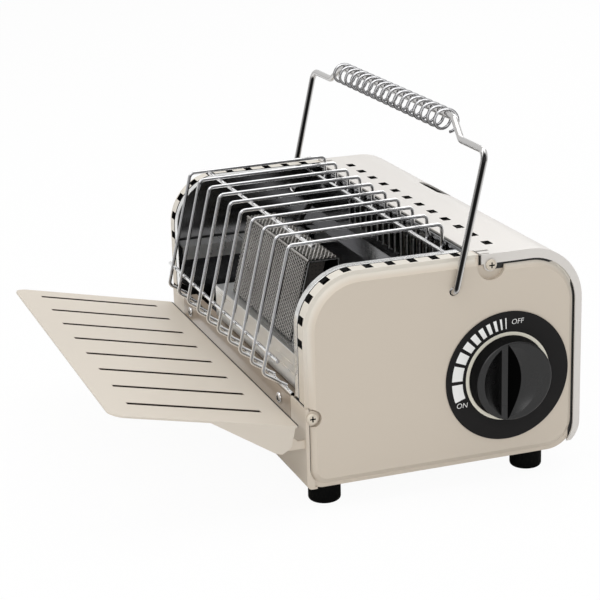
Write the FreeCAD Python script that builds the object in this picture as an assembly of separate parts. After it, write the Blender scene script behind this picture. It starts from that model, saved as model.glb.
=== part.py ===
import FreeCAD, Part
import math
import os

# Portable gas heater for a table top: a folded sheet housing with a wire guard over the
# burner, a slotted front tray, a hinged cover over the cartridge bay, a dial and a wire
# bail with a coil spring grip.
# Units are millimetres. X runs along the housing, +X is the dial end. Y runs from the
# tray (-Y) to the cartridge cover (+Y). Z is up, zero is where the feet stand.
# Shapes are built about the middle of the housing, then moved so that the origin is the
# middle of the whole footprint.

V = FreeCAD.Vector
X_AXIS = V(1, 0, 0)
Y_AXIS = V(0, 1, 0)
Z_AXIS = V(0, 0, 1)

# Housing
BODY_LENGTH = 265.0
BODY_DEPTH = 170.0
BODY_HEIGHT = 124.0
FOOT_HEIGHT = 13.5
SHEET = 1.0
TOP_RADIUS = 33.0
BOTTOM_RADIUS = 10.0
HALF_LENGTH = BODY_LENGTH / 2
FRONT = -BODY_DEPTH / 2
REAR = BODY_DEPTH / 2
BOTTOM = FOOT_HEIGHT
TOP = BOTTOM + BODY_HEIGHT

# End panels: a drawn pan with a raised field inside a narrow rim
FIELD_RISE = 3.0
RIM_WIDTH = 2.2
BEVEL_WIDTH = 3.5
FLANGE_DEPTH = 8.5
FLANGE_REAR = 20.2
PANEL_HEEL_RADIUS = 18.0
FIELD_HEEL_RADIUS = 16.0
RIM_X = HALF_LENGTH - FIELD_RISE
PLATE_X = RIM_X - SHEET
FLANGE_X = RIM_X - FLANGE_DEPTH
STEP_ROUND = 1.2
BEVEL_SHARE = 0.6

# Vents in the end panel flanges
FLANGE_VENT_COUNT = 10
FLANGE_VENT_WIDTH = 4.8
FLANGE_VENT_REACH = 6.9
FLANGE_VENT_PITCH = 13.2
FLANGE_VENT_START = 98.0
VENT_CUT = 4.0

# Bright liners beside the flanges' edges
LINER_THICK = 0.7
LINER_GAP = 1.3
LINER_WIDTH = 5.3
LINER_LAP = 1.3
LINER_RISE = 3.0
LINER_REAR_GAP = 6.0

# How far cutting shapes run past a face, and joined shapes into each other
CUT = 1.0

# Lengths below this count as nothing
TINY = 1e-6
TINY_BOX = 1e-3

# Running and seating gaps
RUN_GAP = 0.05
SIDE_GAP = 0.4
SEAT_GAP = 0.1
SHEET_GAP = 0.3

# Cartridge cover: a curved shell that swings up about two screws near its front edge
COVER_SHEET = 1.0
COVER_FRONT = 19.0
COVER_BOTTOM = 17.5
COVER_LIP_DEPTH = 5.6
COVER_REAR_LIP = 4.2
COVER_LIP_GAP = 1.0
COVER_RADIUS = 33.0
COVER_HEEL_RADIUS = 16.0
COVER_LIP_HEEL = 20.0
COVER_INSET = 2.2
COVER_PIVOT_Y = 27.0
COVER_PIVOT_DROP = 6.2
COVER_EAR_RADIUS = 4.0
COVER_SWING_ROOM = 8.7
COVER_TAB_X = 120.7
COVER_TAB_FRONT = 21.5
COVER_LIP_X = RIM_X + SIDE_GAP
COVER_END_X = COVER_LIP_X + COVER_SHEET
COVER_PIVOT_Z = TOP - COVER_PIVOT_DROP
COVER_VENT_COUNT = 12
COVER_VENT_PITCH = 19.3
COVER_VENT_LENGTH = 7.4
COVER_VENT_WIDTH = 5.0
COVER_VENT_SHIFT = 2.8
COVER_VENT_Y = 35.0
COVER_SLIT_X = 122.0
COVER_SLIT_WIDTH = 2.4
COVER_SLIT_LENGTH = 10.1
FINGER_LENGTH = 36.0
FINGER_WIDTH = 10.0
FINGER_Y = 63.0
FINGER_X = -27.0

# Screws
SCREW_SHANK = 2.0
SCREW_HEAD = 3.2
SCREW_HEAD_HEIGHT = 1.8
SCREW_HEAD_ROUND = 1.1
SCREW_CROSS = 3.4
SCREW_CROSS_WIDTH = 0.8
SCREW_CROSS_DEPTH = 1.0
SCREW_LENGTH = 7.0
RAIL_SCREW_LENGTH = 5.0

# Base pan
PAN_WALL_TOP = 46.0
PAN_POST_TOP = 61.5
PAN_POST_X = 106.0
PAN_SIDE_HEIGHT = 14.0
PAN_REAR_HEIGHT = 18.0
PAN_LIP_DEPTH = 4.6
PAN_LIP_GAP = 0.3
PAN_EAR_RADIUS = 4.2
PAN_EAR_Y = FRONT + 3.5
PAN_EAR_Z = 56.0
PAN_BEND = 3.0
PAN_ROOM = 2.0
PAN_FRONT_RETURN = 6.0
PAN_CORNER_INSET = 4.7
PAN_SIDE_INSET = 9.0
REAR_WALL_INSET = 1.9
REAR_BEND = 17.0

# Front rail
RAIL_BOTTOM = 47.5
RAIL_TOP = 60.5
RAIL_SHELF = 9.0
RAIL_LAP = 8.0
RAIL_SCREW_X = 88.0
RAIL_SCREW_Z = 54.5

# Feet
FOOT_X = 115.0
FOOT_FRONT_Y = -69.3
FOOT_REAR_Y = 58.0
FOOT_RADIUS = 9.4
FOOT_ROUND = 2.0
FOOT_BORE = 4.2
FOOT_BORE_DEPTH = 6.0
FOOT_SCREW_STICK_OUT = 2.0

# Guard
GUARD_WIRE = 1.1
GUARD_RAIL = 1.2
GUARD_COUNT = 10
GUARD_PITCH = 21.13
GUARD_FRONT_TOP_Y = -79.8
GUARD_REAR_TOP_Y = 13.4
GUARD_FRONT_TOP_Z = 145.8
GUARD_REAR_TOP_Z = 147.6
GUARD_BULGE_Y = -97.4
GUARD_BULGE_Z = 72.8
GUARD_BEND = 3.2
GUARD_REAR_DROP = 17.0
GUARD_FOOT_Y = FRONT + 1.6
WELD_SINK = 0.1
GUARD_FOOT_Z = RAIL_TOP + 2 * GUARD_RAIL + GUARD_WIRE - WELD_SINK
GUARD_TOP_RAIL_Y = -66.0
GUARD_LOW_RAIL_Z = 84.0
GUARD_END_LAP = 2.2
GUARD_FOOT_INSET = 1.0
GUARD_REAR_RAIL_RISE = 2.4

# Divider wall between burner bay and cartridge bay
DIVIDER_Y = 15.2
DIVIDER_LOW_Y = 9.0
DIVIDER_STEP_Z = 98.0
DIVIDER_SLOPE = 8.0
LOUVRE_COUNT = 14
LOUVRE_PITCH = 9.5
LOUVRE_WIDTH = 4.5
LOUVRE_HEIGHT = 16.0
LOUVRE_Z = 112.0
LOUVRE_X = 10.0

# Burner
BURNER_X0 = -32.0
BURNER_X1 = 78.0
BURNER_TOP = 130.0
BURNER_BOTTOM = 83.0
BURNER_FRONT_TOP = -62.0
BURNER_FRONT_BOTTOM = -73.5
BURNER_BACK = -43.5
BURNER_SHEET = 0.8
BURNER_FRAME = 5.0
MESH_SHEET = 0.8
PLAQUE_DEPTH = 10.0
PLAQUE_GAP = 1.2

# Ledge, floor reflector and shelf around the burner
LEDGE_FRONT = -79.5
LEDGE_X0 = -50.0
LEDGE_BOTTOM = 62.5
LEDGE_BACK_LAP = 4.0
LEDGE_END_GAP = 7.5
LEG_INSET = 2.0
FLOOR_Z = 50.0
FLOOR_FRONT = -79.0
FLOOR_HALF = 108.0
SHELF_Z = 91.0
SHELF_X = -112.0
SHELF_SKIRT = 8.0
SHELF_FRONT_GAP = 3.0
SHELF_REAR_GAP = 2.0

# Controls
KNOB_Y = 37.1
KNOB_Z = 64.5
DIAL_OUTER = 38.4
DIAL_INNER = 25.4
DIAL_THICK = 0.8
KNOB_RADIUS = 24.2
KNOB_FACE_RADIUS = 23.3
KNOB_GAP = 1.2
KNOB_HEIGHT = 18.0
KNOB_ROUND = 1.2
KNOB_RIDGE = 3.8
SCOOP_RADIUS = 30.0
SCOOP_DEPTH = 10.2
SCOOP_OFFSET = 5.5
KNOB_SOCKET = 7.0
STEM_RADIUS = 3.0
STEM_FLAT = 1.0
STEM_ROOM = 2.0
STEM_INNER = 22.0

# Gas train
VALVE_RADIUS = 9.5
VALVE_LENGTH = 26.0
VALVE_FLANGE = 14.0
VALVE_FLANGE_THICK = 2.0
VALVE_BOSS_WALL = 1.8
VALVE_BOSS_LENGTH = 5.0
BRIDGE_LENGTH = 8.0
BRIDGE_HALF = 6.0
CARTRIDGE_RADIUS = 34.0
CARTRIDGE_Y = 46.5
CARTRIDGE_Z = 54.0
COLLAR_X = 68.0
COLLAR_OUTER = 21.0
COLLAR_BORE = 16.6
COLLAR_DEPTH = 9.0
COLLAR_FLOOR = 2.0
NOTCH_HALF = 3.0
NOTCH_SILL = 4.0
BRACKET_PLATE = 1.5
BRACKET_HALF = 19.0
BRACKET_FOOT = 14.0
REGULATOR_RADIUS = 14.0
REGULATOR_LENGTH = 18.0
REGULATOR_CAP = 8.4
CRADLE_THICK = 5.0
CRADLE_HALF = 15.0
CRADLE_NEAR = 39.0
CRADLE_FAR = 146.0
PIPE_RADIUS = 2.2
PIPE_BEND = 4.5
PIPE_INSET = 16.0
JET_Y = -35.0
JET_GAP = 6.0
JET_BODY = 7.0
JET_BODY_RADIUS = 4.5
JET_TIP = 5.0
JET_TIP_SMALL = 1.4
JET_TIP_LARGE = 3.4
TUBE_RADIUS = 7.0
TUBE_WALL = 0.8
TUBE_X0 = 20.0
TUBE_X1 = 98.0
NECK_X = 28.0

# Ignition
PIEZO_RADIUS = 5.5
PIEZO_LENGTH = 34.0

# Tray
TRAY_X0 = -122.0
TRAY_X1 = 130.0
TRAY_DEPTH = 108.8
TRAY_TILT = 12.2
TRAY_HINGE_Y = FRONT - 3.4
TRAY_HINGE_Z = 52.0
TRAY_CORNER = 9.0
TRAY_INNER_CORNER = 2.4
TRAY_SLOTS = 8
TRAY_SLOT_PITCH = 30.6
TRAY_SLOT_START = 15.5
TRAY_SLOT_END = 93.5
TRAY_SLOT_WIDTH = 2.4
TRAY_FLANGE_START = 2.4
TRAY_FLANGE_LENGTH = 52.0
TRAY_FLANGE_DEPTH = 17.0
TRAY_BACK_BEND = 4.0
TRAY_LOW_BEND = 1.5
TRAY_LOW_START = 7.4
TRAY_LOW_END = 11.4
TRAY_PIN_AHEAD = 7.5
TRAY_PIN_DROP = 5.0
TRAY_PIN_Y = TRAY_HINGE_Y - TRAY_PIN_AHEAD
TRAY_PIN_Z = TRAY_HINGE_Z - TRAY_PIN_DROP
TRAY_PIN_RADIUS = 2.0
TRAY_PIN_HEAD = 3.2
TRAY_PIN_HEAD_THICK = 1.0
BRACKET_RADIUS = 4.2
BRACKET_THICK = 1.5
BRACKET_DROP = 9.0
BRACKET_TOP_DROP = 2.1
BRACKET_NECK = 4.5
BRACKET_SLOPE = 2.0
BRACKET_LOW_DROP = 4.2

# Bail and spring grip
BAIL_WIRE = 2.0
BAIL_X = 135.3
BAIL_PIVOT_Y = 3.7
BAIL_PIVOT_Z = 118.9
BAIL_CORNER_RISE = 80.5
BAIL_GRIP_RISE = 90.6
BAIL_LEAN = 13.0
BAIL_JOG_OUT = 103.0
BAIL_JOG_IN = 88.0
BAIL_BEND = 6.0
BAIL_END_BEND = 2.6
BAIL_END_X = 124.5
BAIL_HOLE = 2.6
GRIP_LENGTH = 172.0
GRIP_SHIFT = -3.0
GRIP_TURNS = 17
GRIP_OUTER = 7.1
GRIP_WIRE = 0.9
GRIP_GAP = 0.12

# The footprint at rest, from the far bail leg to the dial's face and from tray to cover
KNOB_FACE_X = HALF_LENGTH + KNOB_GAP + KNOB_HEIGHT
TRAY_FRONT_Y = (TRAY_HINGE_Y - TRAY_DEPTH * math.cos(math.radians(TRAY_TILT))
                - SHEET * math.sin(math.radians(TRAY_TILT)))
ORIGIN_X = (KNOB_FACE_X - BAIL_X - BAIL_WIRE) / 2
ORIGIN_Y = (REAR + TRAY_FRONT_Y) / 2


# Plain shapes

def box(x0, x1, y0, y1, z0, z1):
    return Part.makeBox(x1 - x0, y1 - y0, z1 - z0, V(x0, y0, z0))


def rod_x(x0, x1, y, z, radius):
    return Part.makeCylinder(radius, x1 - x0, V(x0, y, z), X_AXIS)


def rod_y(y0, y1, x, z, radius):
    return Part.makeCylinder(radius, y1 - y0, V(x, y0, z), Y_AXIS)


def rod_z(z0, z1, x, y, radius):
    return Part.makeCylinder(radius, z1 - z0, V(x, y, z0), Z_AXIS)


def mirrored(shape):
    return shape.mirror(V(0, 0, 0), X_AXIS)


def both_ends(shape):
    return Part.makeCompound([shape, mirrored(shape)])


def fused(shapes):
    result = shapes[0].multiFuse(shapes[1:])
    return result.removeSplitter()


def rounded_wire(points, radii):
    """A closed wire through corner points, each corner an arc of its own radius."""
    edges = []
    count = len(points)
    starts = []
    ends = []
    middles = []
    for i in range(count):
        corner = points[i]
        before = (points[i - 1] - corner).normalize()
        after = (points[(i + 1) % count] - corner).normalize()
        half = before.getAngle(after) / 2
        reach = radii[i] / math.tan(half)
        bisector = (before + after).normalize()
        centre = corner + bisector * (radii[i] / math.sin(half))
        starts.append(corner + before * reach)
        ends.append(corner + after * reach)
        middles.append(centre - bisector * radii[i])
    for i in range(count):
        if radii[i] > 0:
            edges.append(Part.Arc(starts[i], middles[i], ends[i]).toShape())
        following = starts[(i + 1) % count]
        if (following - ends[i]).Length > TINY:
            edges.append(Part.LineSegment(ends[i], following).toShape())
    return Part.Wire(edges)


def open_path(points, radii):
    """An open wire: straight runs joined by tangent arcs, one radius for each corner."""
    edges = []
    last = points[0]
    for i in range(1, len(points) - 1):
        corner = points[i]
        radius = radii[i - 1]
        before = (points[i - 1] - corner).normalize()
        after = (points[i + 1] - corner).normalize()
        half = before.getAngle(after) / 2
        reach = radius / math.tan(half)
        bisector = (before + after).normalize()
        start = corner + before * reach
        end = corner + after * reach
        middle = corner + bisector * (radius / math.sin(half) - radius)
        if (start - last).Length > TINY:
            edges.append(Part.LineSegment(last, start).toShape())
        edges.append(Part.Arc(start, middle, end).toShape())
        last = end
    edges.append(Part.LineSegment(last, points[-1]).toShape())
    return Part.Wire(edges)


def tube_along(path, radius):
    """A round solid rod that follows a path."""
    start = path.Edges[0].firstVertex(True).Point
    direction = path.Edges[0].tangentAt(path.Edges[0].FirstParameter)
    if path.Edges[0].Orientation == "Reversed":
        direction = direction * -1
    section = Part.Wire(Part.makeCircle(radius, start, direction))
    return path.makePipeShell([section], True, False)


def side_wire(points, radii, x):
    """A rounded outline in the plane across X, from (y, z) pairs."""
    return rounded_wire([V(x, y, z) for y, z in points], radii)


def side_solid(points, radii, x0, x1):
    return Part.Face(side_wire(points, radii, x0)).extrude(V(x1 - x0, 0, 0))


def pan_head_screw(length):
    """A cross head screw along -Z with the underside of its head at zero."""
    head = Part.makeCylinder(SCREW_HEAD, SCREW_HEAD_HEIGHT, V(0, 0, 0), Z_AXIS)
    rim = [e for e in head.Edges if abs(e.BoundBox.ZMin - SCREW_HEAD_HEIGHT) < TINY]
    head = head.makeFillet(SCREW_HEAD_ROUND, rim)
    half = SCREW_CROSS / 2
    thin = SCREW_CROSS_WIDTH / 2
    low = SCREW_HEAD_HEIGHT - SCREW_CROSS_DEPTH
    high = SCREW_HEAD_HEIGHT + CUT
    cross = fused([box(-half, half, -thin, thin, low, high), box(-thin, thin, -half, half, low, high)])
    shank = Part.makeCylinder(SCREW_SHANK, length, V(0, 0, -length), Z_AXIS)
    return fused([head.cut(cross), shank])


def screw_at(place, axis, length=SCREW_LENGTH):
    screw = pan_head_screw(length)
    turn = FreeCAD.Rotation(Z_AXIS, axis)
    screw.Placement = FreeCAD.Placement(place, turn)
    return screw


# End panels

def panel_solid(inset, x_top):
    """The panel's outer form: full height in front, lower under the cover behind."""
    low = BOTTOM + inset
    front = FRONT + inset
    rear = REAR - COVER_INSET - inset
    radius = TOP_RADIUS - inset
    small = BOTTOM_RADIUS - inset
    heel = PANEL_HEEL_RADIUS - inset
    step = COVER_PIVOT_Y
    front_part = side_solid([(front, low), (front, TOP - inset), (step, TOP - inset), (step, low)],
                            [small, radius, 0, 0], FLANGE_X, x_top)
    rear_top = TOP - COVER_INSET - inset
    rear_radius = COVER_RADIUS - COVER_INSET - inset
    rear_part = side_solid([(step - CUT, low), (step - CUT, rear_top), (rear, rear_top), (rear, low)],
                           [0, 0, rear_radius, heel], FLANGE_X, x_top)
    return fused([front_part, rear_part])


def field_outline(inset, x):
    """The raised field: its top steps down behind the cover's ear."""
    front = FRONT + RIM_WIDTH + inset
    low = BOTTOM + RIM_WIDTH + inset
    front_top = TOP - RIM_WIDTH - inset
    rear_top = TOP - COVER_LIP_DEPTH - COVER_LIP_GAP - inset
    rear = REAR - COVER_REAR_LIP - COVER_LIP_GAP - inset
    step_y = COVER_PIVOT_Y - inset
    points = [(front, low), (front, front_top), (step_y, front_top), (step_y, rear_top), (rear, rear_top),
              (rear, low)]
    radii = [BOTTOM_RADIUS - inset, TOP_RADIUS - RIM_WIDTH - inset, STEP_ROUND, STEP_ROUND,
             cover_lip_radius() - COVER_LIP_GAP - inset, FIELD_HEEL_RADIUS - inset]
    return side_wire(points, radii, x)


def raised_field(extra):
    """The pressed-out field with its sloping sides; extra moves it inward by a sheet."""
    base = field_outline(extra * BEVEL_SHARE, RIM_X - extra)
    crest = field_outline(BEVEL_WIDTH + extra * BEVEL_SHARE, HALF_LENGTH - extra)
    field = Part.makeLoft([base, crest], True, True)
    low = RIM_X - extra
    high = HALF_LENGTH + CUT
    field = field.cut(rod_x(low, high, COVER_PIVOT_Y, COVER_PIVOT_Z, COVER_SWING_ROOM + extra))
    return field.cut(rod_x(low, high, PAN_EAR_Y, PAN_EAR_Z, PAN_EAR_RADIUS + SHEET + extra))


def outline_place(distance):
    """A place on the panel's outer front and top, with the turn of its surface."""
    straight = TOP - TOP_RADIUS - FLANGE_VENT_START
    quarter = TOP_RADIUS * math.pi / 2
    if distance < straight:
        return FRONT, FLANGE_VENT_START + distance, 0.0
    if distance < straight + quarter:
        angle = (distance - straight) / TOP_RADIUS
        y = FRONT + TOP_RADIUS - TOP_RADIUS * math.cos(angle)
        z = TOP - TOP_RADIUS + TOP_RADIUS * math.sin(angle)
        return y, z, math.degrees(angle)
    return FRONT + TOP_RADIUS + distance - straight - quarter, TOP, 90.0


def flange_vents():
    """Notches in the flange, open at its edge."""
    cuts = []
    for i in range(FLANGE_VENT_COUNT):
        y, z, turn = outline_place(i * FLANGE_VENT_PITCH)
        half = FLANGE_VENT_WIDTH / 2
        vent = box(FLANGE_X - CUT, FLANGE_X + FLANGE_VENT_REACH, -VENT_CUT / 2, VENT_CUT / 2, -half, half)
        vent.rotate(V(0, 0, 0), X_AXIS, -turn)
        vent.translate(V(0, y, z))
        cuts.append(vent)
    return cuts


def cover_swing_notch():
    """Room above and ahead of the cover's pivot for its top as it swings up."""
    x0 = PLATE_X - CUT
    x1 = HALF_LENGTH + CUT
    room = box(x0, x1, FLANGE_REAR, COVER_PIVOT_Y, COVER_PIVOT_Z - SHEET_GAP, TOP + CUT)
    core = COVER_PIVOT_DROP - COVER_SHEET - SHEET_GAP
    return room.cut(rod_x(x0, x1, COVER_PIVOT_Y, COVER_PIVOT_Z, core))


def end_panel():
    """A blank end panel on the +X side."""
    outer = fused([panel_solid(0, RIM_X), raised_field(0)])
    inner = fused([panel_solid(SHEET, PLATE_X), raised_field(SHEET)])
    x0 = FLANGE_X - CUT
    y0 = FRONT - CUT
    low = BOTTOM - CUT
    panel = outer.cut(inner)
    panel = panel.cut(box(x0, PLATE_X, y0, REAR, low, BOTTOM + PAN_SIDE_HEIGHT + PAN_ROOM))
    panel = panel.cut(box(x0, PLATE_X, y0, FRONT + BOTTOM_RADIUS, low, PAN_POST_TOP + PAN_ROOM))
    panel = panel.cut(box(x0, PLATE_X, FLANGE_REAR, REAR, BOTTOM, TOP + CUT))
    panel = panel.cut(cover_swing_notch())
    panel = panel.cut(box(PLATE_X - CUT, HALF_LENGTH, y0, FRONT + SHEET + SEAT_GAP, low, PAN_POST_TOP + SEAT_GAP))
    for vent in flange_vents():
        panel = panel.cut(vent)
    panel = panel.cut(rod_x(PLATE_X - CUT, HALF_LENGTH, COVER_PIVOT_Y, COVER_PIVOT_Z, SCREW_SHANK))
    panel = panel.cut(rod_x(PLATE_X - CUT, HALF_LENGTH, PAN_EAR_Y, PAN_EAR_Z, SCREW_SHANK))
    return panel.cut(rod_x(FLANGE_X, HALF_LENGTH + CUT, BAIL_PIVOT_Y, BAIL_PIVOT_Z, BAIL_HOLE))


def dial_end_panel():
    hole = rod_x(PLATE_X, HALF_LENGTH + CUT, KNOB_Y, KNOB_Z, STEM_RADIUS + STEM_ROOM)
    return end_panel().cut(hole)


def plain_end_panel():
    return mirrored(end_panel())


def liner_section(inset, overrun, x0, x1):
    """The region a given distance in from the housing's outside, run past both ends by an overrun."""
    low = PAN_POST_TOP + LINER_RISE - overrun
    rear = COVER_FRONT - LINER_REAR_GAP + overrun
    points = [(FRONT + inset, low), (FRONT + inset, TOP - inset), (rear, TOP - inset), (rear, low)]
    return side_solid(points, [0, TOP_RADIUS - inset, 0, 0], x0, x1)


def liner_band(near, far, x0, x1):
    """The sheet between two distances in from the housing's outside."""
    return liner_section(near, 0, x0, x1).cut(liner_section(far, CUT, x0 - CUT, x1 + CUT))


def flange_liner():
    """A bright strip level with the panel's flange, stepped down to lap under its edge."""
    x1 = FLANGE_X - LINER_GAP
    x2 = x1 - LINER_THICK
    under = SHEET + SEAT_GAP
    deep = under + LINER_THICK
    strip = liner_band(0, LINER_THICK, x1 - LINER_WIDTH, x1)
    web = liner_band(0, deep, x2, x1)
    lap = liner_band(under, deep, x2, FLANGE_X + LINER_LAP)
    return fused([strip, web, lap])


# Base pan, front rail and feet

def base_pan():
    """The folded pan: floor, front wall with its two posts and ears, low sides and rear."""
    inner_x = PLATE_X - SEAT_GAP
    rear_end = REAR - REAR_WALL_INSET - REAR_BEND
    floor = box(-inner_x, inner_x, FRONT + PAN_BEND, rear_end, BOTTOM, BOTTOM + SHEET)
    low = BOTTOM
    back = FRONT + PAN_FRONT_RETURN
    outline = [(FRONT, low), (FRONT, PAN_WALL_TOP), (FRONT + SHEET, PAN_WALL_TOP), (FRONT + SHEET, low + SHEET),
               (back, low + SHEET), (back, low)]
    wall = side_solid(outline, [PAN_BEND, 0, 0, PAN_BEND - SHEET, 0, 0], -COVER_END_X, COVER_END_X)
    post = box(PAN_POST_X, COVER_END_X, FRONT, FRONT + SHEET, PAN_WALL_TOP - CUT, PAN_POST_TOP)
    lip_x = RIM_X + SEAT_GAP
    lip_back = FRONT + PAN_LIP_DEPTH
    lip = side_solid([(FRONT, low), (FRONT, PAN_POST_TOP), (lip_back, PAN_POST_TOP), (lip_back, low)],
                     [PAN_BEND, 0, 0, 0], lip_x, COVER_END_X)
    field_room = Part.Face(field_outline(-PAN_LIP_GAP, lip_x - CUT)).extrude(V(FIELD_RISE, 0, 0))
    lip = lip.cut(field_room)
    ear = rod_x(lip_x, COVER_END_X, PAN_EAR_Y, PAN_EAR_Z, PAN_EAR_RADIUS)
    ear_room = box(lip_x, COVER_END_X, FRONT, PAN_EAR_Y + PAN_EAR_RADIUS, PAN_EAR_Z - PAN_EAR_RADIUS, PAN_POST_TOP)
    ear = ear.common(ear_room)
    side = box(inner_x - SHEET, inner_x, FRONT + PAN_SIDE_INSET, rear_end, BOTTOM, BOTTOM + PAN_SIDE_HEIGHT)
    pieces = [floor, wall, rear_wall()]
    for shape in (post, lip, ear, side):
        pieces.append(shape)
        pieces.append(mirrored(shape))
    pan = fused(pieces)
    hole = rod_x(lip_x - CUT, COVER_END_X + CUT, PAN_EAR_Y, PAN_EAR_Z, SCREW_SHANK)
    for cut in (pan_corner_cut(), hole):
        pan = pan.cut(cut).cut(mirrored(cut))
    for x, y in foot_places():
        pan = pan.cut(rod_z(BOTTOM - CUT, BOTTOM + SHEET + CUT, x, y, SCREW_SHANK))
    return pan


def pan_corner_cut():
    """What the pan leaves free for the end panel's rounded lower corner."""
    return box(PLATE_X - SEAT_GAP, RIM_X + SEAT_GAP, FRONT + PAN_CORNER_INSET, FRONT + PAN_SIDE_INSET,
               BOTTOM - CUT, BOTTOM + BOTTOM_RADIUS)


def rear_wall():
    """The pan's rear wall and its round bend, just inside the cover."""
    y1 = REAR - REAR_WALL_INSET
    y0 = y1 - SHEET
    start = y1 - REAR_BEND - CUT
    low = BOTTOM
    high = low + PAN_REAR_HEIGHT
    outline = [(start, low), (start, low + SHEET), (y0, low + SHEET), (y0, high), (y1, high), (y1, low)]
    return side_solid(outline, [0, 0, REAR_BEND - SHEET, 0, 0, REAR_BEND], -PLATE_X + SEAT_GAP, PLATE_X - SEAT_GAP)


def front_rail():
    """The painted rail above the pan's front wall, with a shelf behind and a lap below."""
    half = PAN_POST_X - SHEET_GAP
    face = box(-half, half, FRONT, FRONT + SHEET, RAIL_BOTTOM, RAIL_TOP)
    shelf = box(-half, half, FRONT, FRONT + RAIL_SHELF, RAIL_TOP - SHEET, RAIL_TOP)
    lap = box(-half, half, FRONT + SHEET, FRONT + 2 * SHEET, PAN_WALL_TOP - RAIL_LAP, RAIL_BOTTOM + 2 * SHEET)
    rail = fused([face, shelf, lap])
    for sign in (-1, 1):
        rail = rail.cut(rod_y(FRONT - CUT, FRONT + 2 * SHEET + CUT, sign * RAIL_SCREW_X, RAIL_SCREW_Z, SCREW_SHANK))
    return rail


def foot_places():
    return [(sx * FOOT_X, y) for sx in (-1, 1) for y in (FOOT_FRONT_Y, FOOT_REAR_Y)]


def foot(x, y):
    body = rod_z(0, FOOT_HEIGHT, x, y, FOOT_RADIUS)
    rim = [e for e in body.Edges if abs(e.BoundBox.ZMax) < TINY_BOX]
    body = body.makeFillet(FOOT_ROUND, rim)
    bore = rod_z(0, FOOT_BORE_DEPTH, x, y, FOOT_BORE)
    thread = rod_z(0, FOOT_HEIGHT, x, y, SCREW_SHANK)
    return body.cut(bore).cut(thread)


def foot_screws():
    screws = []
    for x, y in foot_places():
        shank_length = FOOT_HEIGHT - FOOT_BORE_DEPTH + SHEET + FOOT_SCREW_STICK_OUT
        screws.append(screw_at(V(x, y, FOOT_BORE_DEPTH), V(0, 0, -1), shank_length))
    return Part.makeCompound(screws)


# Guard

def guard_front_y(z):
    """Where the guard's sloping front runs at a given height."""
    share = (z - GUARD_BULGE_Z) / (GUARD_FRONT_TOP_Z - GUARD_BULGE_Z)
    return GUARD_BULGE_Y + share * (GUARD_FRONT_TOP_Y - GUARD_BULGE_Y)


def guard_top_z(y):
    """How high the guard's top runs, a little higher at the back."""
    share = (y - GUARD_FRONT_TOP_Y) / (GUARD_REAR_TOP_Y - GUARD_FRONT_TOP_Y)
    return GUARD_FRONT_TOP_Z + share * (GUARD_REAR_TOP_Z - GUARD_FRONT_TOP_Z)


def guard_wire(x):
    points = [V(x, GUARD_FOOT_Y, GUARD_FOOT_Z),
              V(x, GUARD_BULGE_Y, GUARD_BULGE_Z),
              V(x, GUARD_FRONT_TOP_Y, GUARD_FRONT_TOP_Z),
              V(x, GUARD_REAR_TOP_Y, GUARD_REAR_TOP_Z),
              V(x, GUARD_REAR_TOP_Y, GUARD_REAR_TOP_Z - GUARD_REAR_DROP)]
    return tube_along(open_path(points, [GUARD_BEND] * 3), GUARD_WIRE)


def guard_wire_x(index):
    return (index - (GUARD_COUNT - 1) / 2) * GUARD_PITCH


def guard_rail_reach():
    return (GUARD_COUNT - 1) / 2 * GUARD_PITCH + GUARD_END_LAP


def weld_offset():
    return GUARD_WIRE + GUARD_RAIL - WELD_SINK


def guard_top_rail():
    reach = guard_rail_reach()
    return rod_x(-reach, reach, GUARD_TOP_RAIL_Y, guard_top_z(GUARD_TOP_RAIL_Y) - weld_offset(), GUARD_RAIL)


def guard_low_rail():
    """The lower front rail, inside the wires, from one end panel to the other."""
    slope = math.atan2(GUARD_FRONT_TOP_Y - GUARD_BULGE_Y, GUARD_FRONT_TOP_Z - GUARD_BULGE_Z)
    y = guard_front_y(GUARD_LOW_RAIL_Z) + weld_offset() * math.cos(slope)
    z = GUARD_LOW_RAIL_Z - weld_offset() * math.sin(slope)
    reach = guard_rail_reach() + GUARD_PITCH / 2
    return rod_x(-reach, reach, y, z, GUARD_RAIL)


def guard_foot_rail():
    reach = PAN_POST_X - GUARD_FOOT_INSET
    return rod_x(-reach, reach, GUARD_FOOT_Y, RAIL_TOP + GUARD_RAIL, GUARD_RAIL)


def guard_rear_rail():
    z = GUARD_REAR_TOP_Z - GUARD_REAR_DROP + GUARD_REAR_RAIL_RISE
    reach = PLATE_X - SEAT_GAP
    return rod_x(-reach, reach, GUARD_REAR_TOP_Y - weld_offset(), z, GUARD_RAIL)


# Divider and burner bay

def divider_wall():
    """The stepped wall between the burner bay and the cartridge bay, louvred near its top."""
    low = BOTTOM + SHEET
    y0 = DIVIDER_LOW_Y
    y1 = DIVIDER_Y
    z1 = DIVIDER_STEP_Z
    z2 = DIVIDER_STEP_Z + DIVIDER_SLOPE
    outline = [(y0, low), (y0, z1), (y1, z2), (y1, TOP), (y1 + SHEET, TOP), (y1 + SHEET, z2), (y0 + SHEET, z1),
               (y0 + SHEET, low)]
    half = PLATE_X - SHEET - 2 * SEAT_GAP
    wall = side_solid(outline, [0] * len(outline), -half, half)
    corner = box(FLANGE_X - SHEET_GAP, half + CUT, 0, y1 + SHEET + CUT, TOP - SHEET - SHEET_GAP, TOP + CUT)
    wall = wall.cut(corner).cut(mirrored(corner))
    for i in range(LOUVRE_COUNT):
        x = LOUVRE_X + (i - (LOUVRE_COUNT - 1) / 2) * LOUVRE_PITCH
        wall = wall.cut(box(x - LOUVRE_WIDTH / 2, x + LOUVRE_WIDTH / 2, y0, y1 + SHEET + CUT,
                            LOUVRE_Z, LOUVRE_Z + LOUVRE_HEIGHT))
    return wall.cut(rod_y(y0 - CUT, y1, pipe_x(), KNOB_Z, PIPE_RADIUS + SHEET))


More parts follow.
